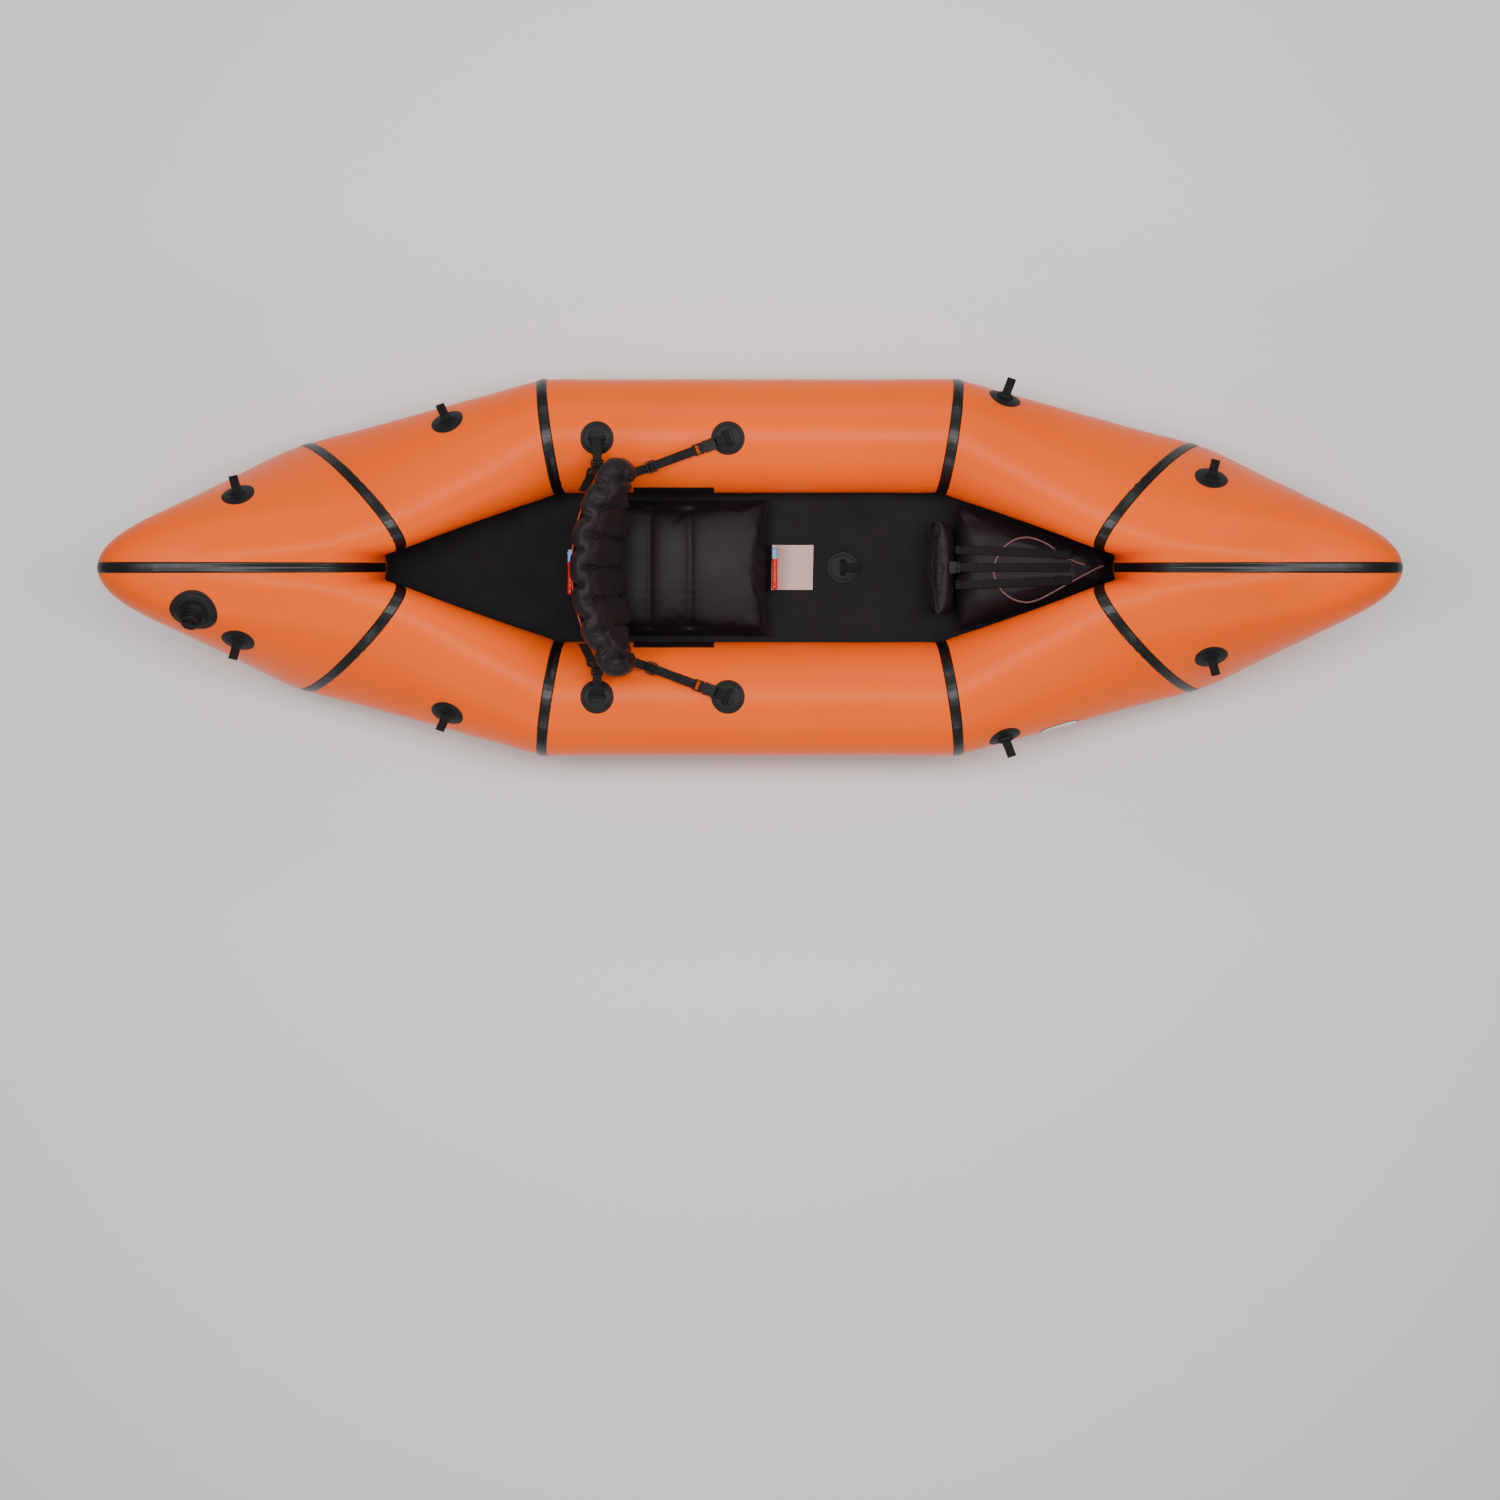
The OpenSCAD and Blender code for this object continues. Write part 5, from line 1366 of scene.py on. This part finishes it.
# ---------- straps and buckles ----------
SOCKET_BAR = 24.0
PLUG_BAR = 78.0
BUCKLE_W = WEB_W + 8


def front_strap_frame():
    """Start, direction and length of the front strap, from the patch's bar to the backrest's wing."""
    place, _ = strap_place("front")
    start, _ = hull_frame(place, 1, BAR_H)
    wing = back_point(SWING_MAX, BACK_R - BACK_T / 2 + 8, WING_BOTTOM + 8.0) + [0.5, 3.5, 0]
    run = wing - start
    way = unit(run * [1, 1, 0])
    axes = np.stack([way, np.cross([0, 0, 1.0], way), [0, 0, 1.0]])
    return start, axes, float(np.hypot(run[0], run[1])), run[2]


def weave_path(x):
    """Webbing's way over and under a slider's bars, as place along and height."""
    return [[x - 14, -2.7], [x - 7, -2.7], [x - 1.9, 2.7], [x + 1.9, 2.7], [x + 7, -2.7], [x + 13, -2.7]]


def slider_shells():
    """Flat slider: two rails, two end bars and a middle bar."""
    width = WEB_W + 8
    rails = [rounded_box((0, k * (width / 2 - 1.6), 0), (22, 3.2, 3.2), power=7) for k in (1, -1)]
    bars = [rounded_box((x, 0, 0), (3.2 if x else 3.0, width - 1, 3.0), power=5) for x in (-9.3, 0, 9.3)]
    return rails + bars


def socket_shells():
    """Socket of a side-release buckle: an arched shell with open sides, a web bar and two side cheeks."""
    def waist(p):
        p = p.copy()
        p[..., 1] *= 1 - 0.09 * bell(p[..., 0], 2, 7)
        return p
    w = BUCKLE_W
    lids = [rounded_box((SOCKET_BAR + 20, 0, k * 3.6), (28, w, 1.9), power=8, shape=waist) for k in (1, -1)]
    walls = [rounded_box((SOCKET_BAR + 8.6, k * (w / 2 - 1.3), 0), (6, 2.6, 8.4), power=6) for k in (1, -1)]
    walls += [rounded_box((SOCKET_BAR + 31.6, k * (w / 2 - 1.3), 0), (4.8, 2.6, 8.4), power=6) for k in (1, -1)]
    back = rounded_box((SOCKET_BAR + 7.4, 0, 0), (3, w - 1, 8.2), power=6)
    cheeks = [rounded_box((SOCKET_BAR + 2, k * (w / 2 - 1.5), 0), (10.5, 3, 6), power=5) for k in (1, -1)]
    bar = sweep(stack(SOCKET_BAR, np.linspace(-w / 2 + 2, w / 2 - 2, 8), 0), round_section(2.0, 14), [0, 0, 1])
    return lids + walls + [back, *cheeks, bar]


def plug_shells():
    """Plug of the buckle: two springy arms with shoulders, a centre guide, a body and a web bar."""
    prong, w = SOCKET_BAR + 12, BUCKLE_W
    arms = []
    for k in (1, -1):
        x = np.linspace(prong + 1, prong + 24, 24)
        arm = stack(x, k * (7.5 + 2.6 * bell(x, prong + 8, 4.5) - 1.2 * smooth_step(prong + 4, prong, x)), 0)
        arms.append(sweep(arm, round_section(1, 14) * [1.9, 2.1], [0, 0, 1]))
    guide = rounded_box((prong + 13, 0, 0), (22, 4, 3), power=6)
    body = rounded_box((SOCKET_BAR + 40, 0, 0), (10, w - 2, 7), power=5)
    ridges = [rounded_box((SOCKET_BAR + 38 + 2.2 * k, 0, 3.3), (1.1, w - 8, 1.2), power=4) for k in range(3)]
    sides = [rounded_box((PLUG_BAR - 3.5, k * (w / 2 - 2.5), 0), (13, 3, 5), power=5) for k in (1, -1)]
    bar = sweep(stack(PLUG_BAR, np.linspace(-w / 2 + 2, w / 2 - 2, 8), 0), round_section(2.0, 14), [0, 0, 1])
    return [*arms, guide, body, *ridges, *sides, bar]


def placed(shells, origin, axes):
    return [Shell(origin + s.points @ axes, s.faces, s.cloth) for s in shells]


def both_sides(shells):
    return [s.at(1, side) for s in shells for side in (1, -1)]


def stitch_rows(origin, axes, xs, half=7.5, z=0.0, count=7):
    """Short rows of raised thread across a strap."""
    y = np.linspace(-half, half, count)
    return [Shell(origin + rounded_box((x, k, z), (0.7, 1.7, 0.6), power=2.5, rows=3, sides=6).points @ axes,
                  rounded_box((x, k, z), (0.7, 1.7, 0.6), power=2.5, rows=3, sides=6).faces) for x in xs for k in y]


class KAYAK_OT_backrest_straps(bpy.types.Operator):
    """Buckled front straps and rear straps with sliders that hold the backrest"""
    bl_idname = "kayak.backrest_straps"
    bl_label = "Backrest straps"

    def execute(self, context):
        start, axes, length, rise = front_strap_frame()
        plastic, cloth = finish("buckle_plastic"), finish("webbing")
        loop_axes = np.array([axes[1], axes[2], axes[0]])
        anchor = web_loop(start, loop_axes, SOCKET_BAR, 4.6)
        make_piece("front_patch_anchors", both_sides(anchor), cloth, "hull", ["front_strap_anchors"])
        make_piece("buckle_socket_pair", both_sides(placed(socket_shells(), start, axes)), plastic, "hull",
                   ["buckle_sockets"], sharp=50)
        for side, word in ((1, "port"), (-1, "starboard")):
            plug = [s.at(1, side) for s in placed(plug_shells(), start, axes)]
            make_piece(f"side_release_plug_{word}", plug, plastic, f"buckle_plug_{word}",
                       [f"buckle_plug_{word}"], sharp=50)
        glide = length - 22
        make_piece("front_strap_sliders", both_sides(placed(slider_shells(), start + glide * axes[0], axes)), plastic,
                   "backrest", ["tri_glides"], sharp=50)
        slip = PLUG_BAR + 38
        line = [[slip, -0.9], [slip + 12, -1.4]] + weave_path(glide) + [[length, rise], [length + 24, rise + 7]]
        points = [start + x * axes[0] + [0, 0, z] for x, z in line]
        under = [[slip, -3.2], [slip + 16, -3.6], [glide - 28, -4.4], [glide - 16, -4.6]]
        lower = [start + x * axes[0] + [0, 0, z] for x, z in under]
        up = [[0, 0, 1]] * len(points)
        straps = [sewn_strip(points, up), sewn_strip(lower, up[:4], WEB_W - 1, 8)]
        turn = np.linspace(-95, 95, 13)
        wrap = stack(PLUG_BAR + 0.8 - 2.7 * cos_deg(turn), 0, 2.7 * sin_deg(turn))
        wrap_ups = np.cross([0, 1.0, 0], unit(np.gradient(wrap, axis=0)))
        over = [[PLUG_BAR + 1, 2.7], [PLUG_BAR + 10, 1.7], [slip - 6, 1.3], [slip + 6, 1.1]]
        below = [[PLUG_BAR + 1, -2.7], [PLUG_BAR + 8, -5.8], [slip - 6, -6.4], [slip + 6, -6.8]]
        tail = [sewn_strip([[px, 0, pz] for px, pz in way], up[:4], WEB_W, 8) for way in (over, below)]
        tail = placed(tail + [webbing(wrap, wrap_ups, WEB_W - 1)], start, axes)
        for side, word in ((1, "port"), (-1, "starboard")):
            make_piece(f"plug_strap_end_{word}", [s.at(1, side) for s in tail], cloth, f"buckle_plug_{word}")
        front = make_piece("front_strap_pair", both_sides(straps), cloth, None, ["front_straps"])
        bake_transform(front)
        rear_straps()
        return {"FINISHED"}


def rear_straps():
    """Rear straps: up from the rear patch through a slider to the backrest, with a loose curved tail."""
    place, _ = strap_place("rear")
    start, _ = hull_frame(place, 1, BAR_H)
    finish_at = back_point(32.0, BACK_R + BACK_T / 2 + 9.4, 336.0)
    run = finish_at - start
    length = float(np.linalg.norm(run))
    way = unit(run)
    across = np.array([1.0, 0, 0])
    normal = unit(np.cross(way, across))
    lock = length - 20
    tail = [[0, 6, -14], [-6, 4, -50], [-12, -6, -92], [-24, -22, -132], [-34, -34, -170]]
    end_at = start + (length - 4) * way - 2.7 * normal
    path = [start + x * way + z * normal for x, z in [[5.2, 0]] + weave_path(lock)]
    path += [end_at + [p[0] - 12, p[1] - 8, p[2]] for p in tail]
    path = np.array(path)
    along = unit(np.gradient(path, axis=0))
    ups = np.cross(across, along)
    shells = [sewn_strip(path, ups)]
    wrap = stack(0, 4.4 * cos_deg(np.linspace(20, 340, 30)), 4.4 * sin_deg(np.linspace(20, 340, 30)))
    frame_axes = np.stack([across, -normal, way])
    wrap_up = unit(wrap) * -1
    shells += placed([webbing(wrap[:, [0, 2, 1]] * [1, 1, -1], wrap_up[:, [0, 2, 1]] * [1, 1, -1])], start, frame_axes)
    piece = make_piece("rear_strap_pair", both_sides(shells), finish("webbing"), None, ["rear_straps"])
    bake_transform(piece)
    axes = np.stack([way, across, -normal])
    locks = placed(slider_shells(), start + lock * way, axes)
    make_piece("ladder_lock_pair", both_sides(locks), finish("buckle_plastic"), "backrest",
               ["ladder_locks"], sharp=50)


# ---------- foot brace ----------
CORD_ROUTE = [[338, 4], [318, -3], [285, -20], [248, -40], [216, -58], [184, -74], [157, -80], [129, -74],
              [103, -56], [87, -30], [81, -4], [89, 22], [107, 48], [131, 64], [159, 69], [187, 62], [211, 50],
              [239, 28], [268, 14], [292, 6]]
ELASTIC_D = 4.0
FOOT_BUCKLE = np.array([FOOT_AFT - 5, 0, BASE_Z + FOOT_H + 1.8])


def strap_height(x):
    return foot_top(x) + ELASTIC_D + 0.9 + WEB_T / 2


class KAYAK_OT_foot_brace(bpy.types.Operator):
    """Foot cushion and bolster with their straps, buckle and elastic cord"""
    bl_idname = "kayak.foot_brace"
    bl_label = "Foot brace"

    def execute(self, context):
        cushion = soft_piece("inflated_foot_cushion", pillow(foot_place, 72, 62), ["foot_cushion"])
        blow_up(cushion, 12)
        points = mesh_points(cushion)
        low, high = points.min(0), points.max(0)
        points = fit_box(points, (FOOT_AFT, low[1] * COCKPIT_LIMIT / high[1], BASE_Z),
                         (FOOT_AFT + FOOT_LENGTH, COCKPIT_LIMIT, BASE_Z + FOOT_H))
        set_mesh_points(cushion, points)
        out = mesh_normals(cushion)
        corners = [(x, k * float(foot_half_width(x))) for x in (FOOT_AFT, FOOT_AFT + FOOT_LENGTH) for k in (1, -1)]
        top = smooth_step(-0.4, 0.4, out[:, 2])
        edge = np.exp(-np.abs(points[:, 0] - FOOT_AFT) / 26) * ripples(points[:, 1], 91, 0.09, 0.2) * 2.2
        points += out * (top * (corner_pleats(points, corners, 42, 4.2, 11) + edge + 0.8 * lumps(points, 92, 60)))[:, None]
        over = np.abs(points[:, 1]) < 62
        limit = foot_top(points[:, 0]) - 0.6
        points[:, 2] = np.where(over, np.minimum(points[:, 2], limit), np.minimum(points[:, 2], limit + 6))
        points[:, 2] = np.maximum(points[:, 2], BASE_Z)
        set_mesh_points(cushion, points)
        round_off(cushion)
        bolster = soft_piece("inflated_foot_bolster", pillow(bolster_place, 64, 44, 5.0, 1.2), ["foot_bolster"])
        blow_up(bolster, 7)
        points = mesh_points(bolster)
        low = (BOLSTER_X - BOLSTER_D / 2, -BOLSTER_HALF, BASE_Z)
        points = fit_box(points, low, (BOLSTER_X + BOLSTER_D / 2, BOLSTER_HALF, BASE_Z + FOOT_H))
        out = mesh_normals(bolster)
        gather = np.exp(-(points[:, 0] - low[0]) / 20) * ripples(points[:, 1], 93, 0.16, 0.42) * 1.7
        seam = bell(points[:, 0], low[0] + 9, 1.8) * 1.6 + bell(points[:, 0], low[0] + 14, 1.8) * 1.2
        points += out * (gather - seam + 0.8 * lumps(points, 94, 45))[:, None]
        points[:, 0] = np.clip(points[:, 0], low[0] - 2, BOLSTER_X + BOLSTER_D / 2 + 2)
        points[:, 2] = np.clip(points[:, 2], BASE_Z, BASE_Z + FOOT_H - 0.5)
        set_mesh_points(bolster, points)
        round_off(bolster)
        foot_straps_and_cord()
        return {"FINISHED"}


COCKPIT_LIMIT = float(foot_half_width(FOOT_AFT))


def foot_straps_and_cord():
    """Three straps over the cushion, the buckle at their aft end and the elastic cord's long loop under them."""
    a, b = FOOT_AFT + 20, FOOT_AFT + 258
    x = np.linspace(a, b, 13)
    shells = []
    for y0 in (40.0, -40.0):
        y = y0 * (1 - 0.25 * (x - a) / (b - a))
        path = [[FOOT_AFT - 3, y0, BASE_Z + FOOT_H * 0.8], [FOOT_AFT - 3, y0, BASE_Z + FOOT_H + 1]]
        path += stack(x, y, strap_height(x)).tolist()
        ups = [[-1, 0, 0], [-0.8, 0, 0.6]] + [[0, 0, 1]] * len(x)
        shells.append(sewn_strip(path, ups, WEB_W, 5))
        end = stack(np.linspace(b - 36, b + 2, 8), y[-1] + 0 * np.arange(8), strap_height(b - 10) + 1.5)
        shells.append(webbing(end, [0, 0, 1], WEB_W + 1.2, 1.8))
        for at in (b - 30, b - 8):
            shells += stitch_rows(np.array([at, y[-1], strap_height(b - 10) + 2.5]), np.eye(3), [0], 8)
    x = np.linspace(a + 5, b, 13)
    shells.append(sewn_strip(stack(x, 0 * x, strap_height(x)), [[0, 0, 1]] * len(x), WEB_W, 5))
    make_piece("foot_brace_straps", shells, finish("webbing"), "hull", ["foot_straps"])
    end = stack(FOOT_BUCKLE[0] + np.array([9.4, 18, 30, 46]), 0, FOOT_BUCKLE[2] + np.array([0.2, 1.2, 2.2, 2.6]))
    make_piece("foot_plug_strap_end", [sewn_strip(end, [[0, 0, 1]] * 4, WEB_W, 5)], finish("webbing"),
               "foot_buckle_plug")
    w = BUCKLE_W
    socket = [rounded_box((-7.5, 0, k * 3.2), (17, w, 1.7), power=8) for k in (1, -1)]
    socket += [rounded_box((-7.5, k * (w / 2 - 1.3), 0), (17, 2.6, 7.6), power=7) for k in (1, -1)]
    socket += [rounded_box((-14.4, 0, 0), (3.2, w - 1, 7.6), power=6)]
    make_piece("foot_strap_buckle_socket", placed(socket, FOOT_BUCKLE, np.eye(3)), finish("buckle_plastic"), "hull",
               ["foot_buckle_socket"], sharp=50)
    plug = [rounded_box((-1, k * 7.5, 0), (16, 4, 3.8), power=4) for k in (1, -1)]
    plug += [rounded_box((6, 0, 0), (8, w - 2, 6), power=5)]
    plug += [rounded_box((4.4 + 1.8 * k, 0, 2.8), (0.9, w - 8, 1), power=4) for k in range(3)]
    make_piece("foot_strap_buckle_plug", placed(plug, FOOT_BUCKLE, np.eye(3)), finish("buckle_plastic"),
               "foot_buckle_plug", ["foot_buckle_plug"], sharp=50)
    route = np.array(CORD_ROUTE, float)
    route[:, 0] += FOOT_AFT
    flat = curve_through(route, 240)
    line = stack(flat[:, 0], flat[:, 1], foot_top(flat[:, 0]) + 0.6 + ELASTIC_D / 2)
    cord = make_piece("elastic_cord", [sweep(line, round_section(ELASTIC_D / 2, 14), [0, 0, 1])], finish("elastic"),
                      "hull", ["foot_cord"])
    step = np.linalg.norm(np.diff(line, axis=0), axis=1)
    last = line[-1]
    profile = [[2.1, 0.2], [3.2, 0.4], [3.2, 1.4], [2.9, 2.4], [3.1, 3.4], [2.9, 4.6], [3.1, 5.6], [2.4, 6.2], [0.4, 6.3]]
    axes = np.array([[0, 1.0, 0], [0, 0, 1.0], [1.0, 0, 0]])
    make_piece("cord_end_ferrule", [lathe([[0.4, 0.2]] + profile, last, axes, sides=40)], finish("buckle_plastic"), "hull",
               ["foot_cord_eyelets"], sharp=50)


# ---------- valve, fin and badge ----------
VALVE_PLACE = (-1, 1.56, 69.0)


class KAYAK_OT_main_valve(bpy.types.Operator):
    """Main inflation valve: patch, stepped body, screw cap and tether"""
    bl_idname = "kayak.main_valve"
    bl_label = "Main valve"

    def execute(self, context):
        end, s, v = VALVE_PLACE
        disc = patch_disc(s, v, end, 105.0, plinth=False).at(end, -1)
        make_piece("valve_patch_disc", [disc], finish("patch_rubber"), "hull", ["valve_patch"])
        origin, axes = hull_frame(VALVE_PLACE, -1, 3.4)
        plastic = finish("valve_plastic")
        body = [[10.2, 0.1], [31, 0.1], [31, 1.9], [30.2, 2.8], [27.2, 3.1], [26.4, 3.8], [25.6, 8.2], [24.9, 9.0],
                [23.0, 9.1], [22.3, 9.6], [21.7, 13.4], [21.1, 13.9], [19.9, 14.0], [19.4, 14.5], [19, 18.6], [18.6, 19],
                [17.2, 19.1], [16.9, 20.4], [17.2, 21.3], [16.6, 22.2], [17.1, 23.2], [16.6, 24.4], [16.8, 25.8],
                [13.1, 25.9], [12.9, 7.2], [10.2, 7.0]]
        ribs = lambda a, h: 0.35 * np.cos(np.radians(a) * 30) * (h > 4.2) * (h < 8)
        rings = lathe(body, origin, axes, ribs, sides=120)
        bolts = [rounded_box(origin + (28.6 * np.array([cos_deg(k * 45), sin_deg(k * 45), 0]) + [0, 0, 2.9]) @ axes,
                             (3, 3, 1.4), axes, 2.6, 6, 14) for k in range(8)]
        make_piece("valve_housing", [rings, *bolts], plastic, "hull", ["valve_body"], sharp=42)
        cap = [[0.3, 26.4], [16.9, 26.3], [17.3, 19.7], [19.4, 19.6], [19.9, 20.2], [19.9, 30.4], [19.2, 31.8], [17.8, 32.4],
               [14.8, 32.4], [14.2, 31.7], [6, 31.5], [0.3, 31.5]]
        knurl = lambda a, h: 0.45 * np.cos(np.radians(a) * 36) * (h > 20.5) * (h < 30)
        grip = rounded_box(origin + np.array([0, 0, 35.4]) @ axes, (32.5, 5.6, 8.4), axes, 4.5, 12, 32)
        knob = rounded_box(origin + np.array([0, 0, 33.5]) @ axes, (11, 11, 5), axes, 2.6, 10, 26)
        make_piece("valve_screw_cap", [lathe(cap, origin, axes, knurl, sides=144), grip, knob], plastic, "valve_cap",
                   ["valve_cap"], sharp=42)
        lower = [[20.1, 14.5], [22.6, 14.4], [23.0, 15.4], [22.6, 16.4], [20.1, 16.3], [20.0, 15.4]]
        upper = [[20.5, 24.1], [22.6, 24.0], [23.0, 25.0], [22.6, 26.0], [20.5, 25.9], [20.4, 25.0]]
        shells = []
        for profile in (lower, upper):
            a = np.arange(0, 360, 5.0)
            p = np.array(profile)
            ring = origin + (stack(p[None, :, 0] * cos_deg(a)[:, None], p[None, :, 0] * sin_deg(a)[:, None],
                                   p[None, :, 1])) @ axes
            shells.append(tube_shell(ring, closed=True))
        arc = curve_through([[21.6, 0, 15.4], [24.0, 0, 16.6], [24.0, 0, 20.2], [24.0, 0, 23.8], [21.8, 0, 25.0]], 24)
        shells.append(sweep(origin + arc @ axes, band_section(9, 1.5), axes[0]))
        make_piece("cap_tether", shells, plastic, "hull", ["valve_tether"])
        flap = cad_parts["valve_flap"]
        flap.data.materials.clear()
        flap.data.materials.append(finish("patch_rubber"))
        return {"FINISHED"}


FIN_AFT = -(POINT_X + 0.697 * (TIP_X - POINT_X))
FIN_PATCH_LOW = FLOOR_TOP - 4.5
FIN_ROOT = FIN_PATCH_LOW - 10


class KAYAK_OT_fin(bpy.types.Operator):
    """Swept fin in its slotted box, on a welded patch"""
    bl_idname = "kayak.fin"
    bl_label = "Fin"

    def execute(self, context):
        drop = FIN_DEPTH + FIN_ROOT
        lead = np.array([[160, 0], [131, 0.3], [71, 0.64], [-6, 0.98], [-24, 1.0]])
        trail = np.array([[7, 0], [-7, 0.12], [-44, 0.42], [-81, 0.8], [-82, 0.86], [-63, 0.965], [-24, 1.0]])
        level = np.concatenate([np.linspace(0, 0.94, 46), 0.94 + 0.06 * np.sin(np.linspace(0, 1, 14)[1:] * math.pi / 2)])
        level = np.minimum(level, 0.9995)
        x0 = np.interp(level, lead[:, 1], lead[:, 0])
        x1 = np.interp(level, trail[:, 1], trail[:, 0])
        t = np.arange(48) * 2 * math.pi / 48
        chord = (x0 + x1)[:, None] / 2 + (x0 - x1)[:, None] / 2 * np.cos(t)[None, :]
        slim = 3.5 * (1 - 0.35 * level) * np.minimum(1, (x0 - x1) / 30)
        y = slim[:, None] * np.sign(np.sin(t)) * np.abs(np.sin(t)) ** 0.55
        blade = tube_shell(stack(FIN_AFT + chord, y, (FIN_ROOT - drop * level)[:, None]))
        foot = rounded_box((FIN_AFT + 7 + 80, 0, FIN_ROOT + 2.5), (160, 20, 5), power=9)
        make_piece("swept_fin_blade", [blade, foot], finish("fin_plastic"), "fin", ["fin_blade"], sharp=50)
        half_l, half_w = 100.0, 40.0
        a = np.arange(0, 360, 3.0)
        share = np.array([0.05, 0.5, 0.9, 0.95, 0.985, 1.0])
        deep = np.array([2.5, 2.5, 2.5, 1.6, 1.3, 0.4])
        outline = stack(np.sign(cos_deg(a)) * (half_l - half_w) + half_w * cos_deg(a), half_w * sin_deg(a))
        low = [stack(FIN_AFT + 95 + outline[:, 0] * k, outline[:, 1] * k, FLOOR_TOP - 2.0 - d) for k, d in zip(share, deep)]
        top = [stack(FIN_AFT + 95 + outline[:, 0] * k, outline[:, 1] * k, FLOOR_TOP - 2.0) for k in (1.0, 0.05)]
        make_piece("fin_mount_patch", [tube_shell(np.array(low + top))], finish("patch_rubber"), "hull",
                   ["fin_patch"], sharp=50)
        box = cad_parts["fin_box"]
        box.data.materials.clear()
        box.data.materials.append(finish("fin_plastic"))
        return {"FINISHED"}


class KAYAK_OT_badge(bpy.types.Operator):
    """Blank rounded badge on the hull"""
    bl_idname = "kayak.badge"
    bl_label = "Blank badge"

    def execute(self, context):
        angle = np.arange(0, 360, 4.0)
        x, y = power_wave(angle, 3.2)
        for name, share, low, high, slot in (("blank_badge_rim", 1.0, 0.1, 1.2, "badge_rim"),
                                             ("blank_badge_face", 0.9, 1.0, 1.55, "badge_film")):
            rings = [beside(0.44, 7.0, 1, 46 * share * k * x, 20 * share * k * y, np.full_like(x, h))
                     for k, h in ((0.05, low), (0.99, low), (1.0, high - 0.25), (0.97, high), (0.5, high), (0.05, high))]
            make_piece(name, [tube_shell(np.array(rings)).at(1, -1)], finish(slot), "hull",
                       ["hull_badge"], sharp=50)
        return {"FINISHED"}


OPERATORS = (
    KAYAK_OT_stage, KAYAK_OT_hull_panels, KAYAK_OT_seam_tapes, KAYAK_OT_floor, KAYAK_OT_patches,
    KAYAK_OT_grab_loops, KAYAK_OT_main_valve, KAYAK_OT_fin, KAYAK_OT_badge, KAYAK_OT_seat,
    KAYAK_OT_backrest, KAYAK_OT_backrest_straps, KAYAK_OT_foot_brace)


class KAYAK_PT_panel(bpy.types.Panel):
    """Lists the kayak's settings and the operators that build it"""
    bl_idname = "KAYAK_PT_panel"
    bl_label = "Inflatable Kayak"
    bl_space_type = "VIEW_3D"
    bl_region_type = "UI"
    bl_category = "Kayak"

    def draw(self, context):
        for group in GROUPS:
            settings = getattr(context.scene, group)
            for key in settings.__annotations__:
                self.layout.prop(settings, key)
        for operator in OPERATORS:
            self.layout.operator(operator.bl_idname)


GROUPS = {"kayak_colours": KayakColours, "kayak_air": KayakAir, "kayak_stage": KayakStage}


def register():
    for item in (*GROUPS.values(), *OPERATORS, KAYAK_PT_panel):
        bpy.utils.register_class(item)
    for name, group in GROUPS.items():
        setattr(bpy.types.Scene, name, bpy.props.PointerProperty(type=group))


def unregister():
    for name in GROUPS:
        delattr(bpy.types.Scene, name)
    for item in reversed((*GROUPS.values(), *OPERATORS, KAYAK_PT_panel)):
        bpy.utils.unregister_class(item)


def main():
    register()
    for operator in OPERATORS:
        group, name = operator.bl_idname.split(".")
        getattr(getattr(bpy.ops, group), name)()


if __name__ == "__main__":
    main()
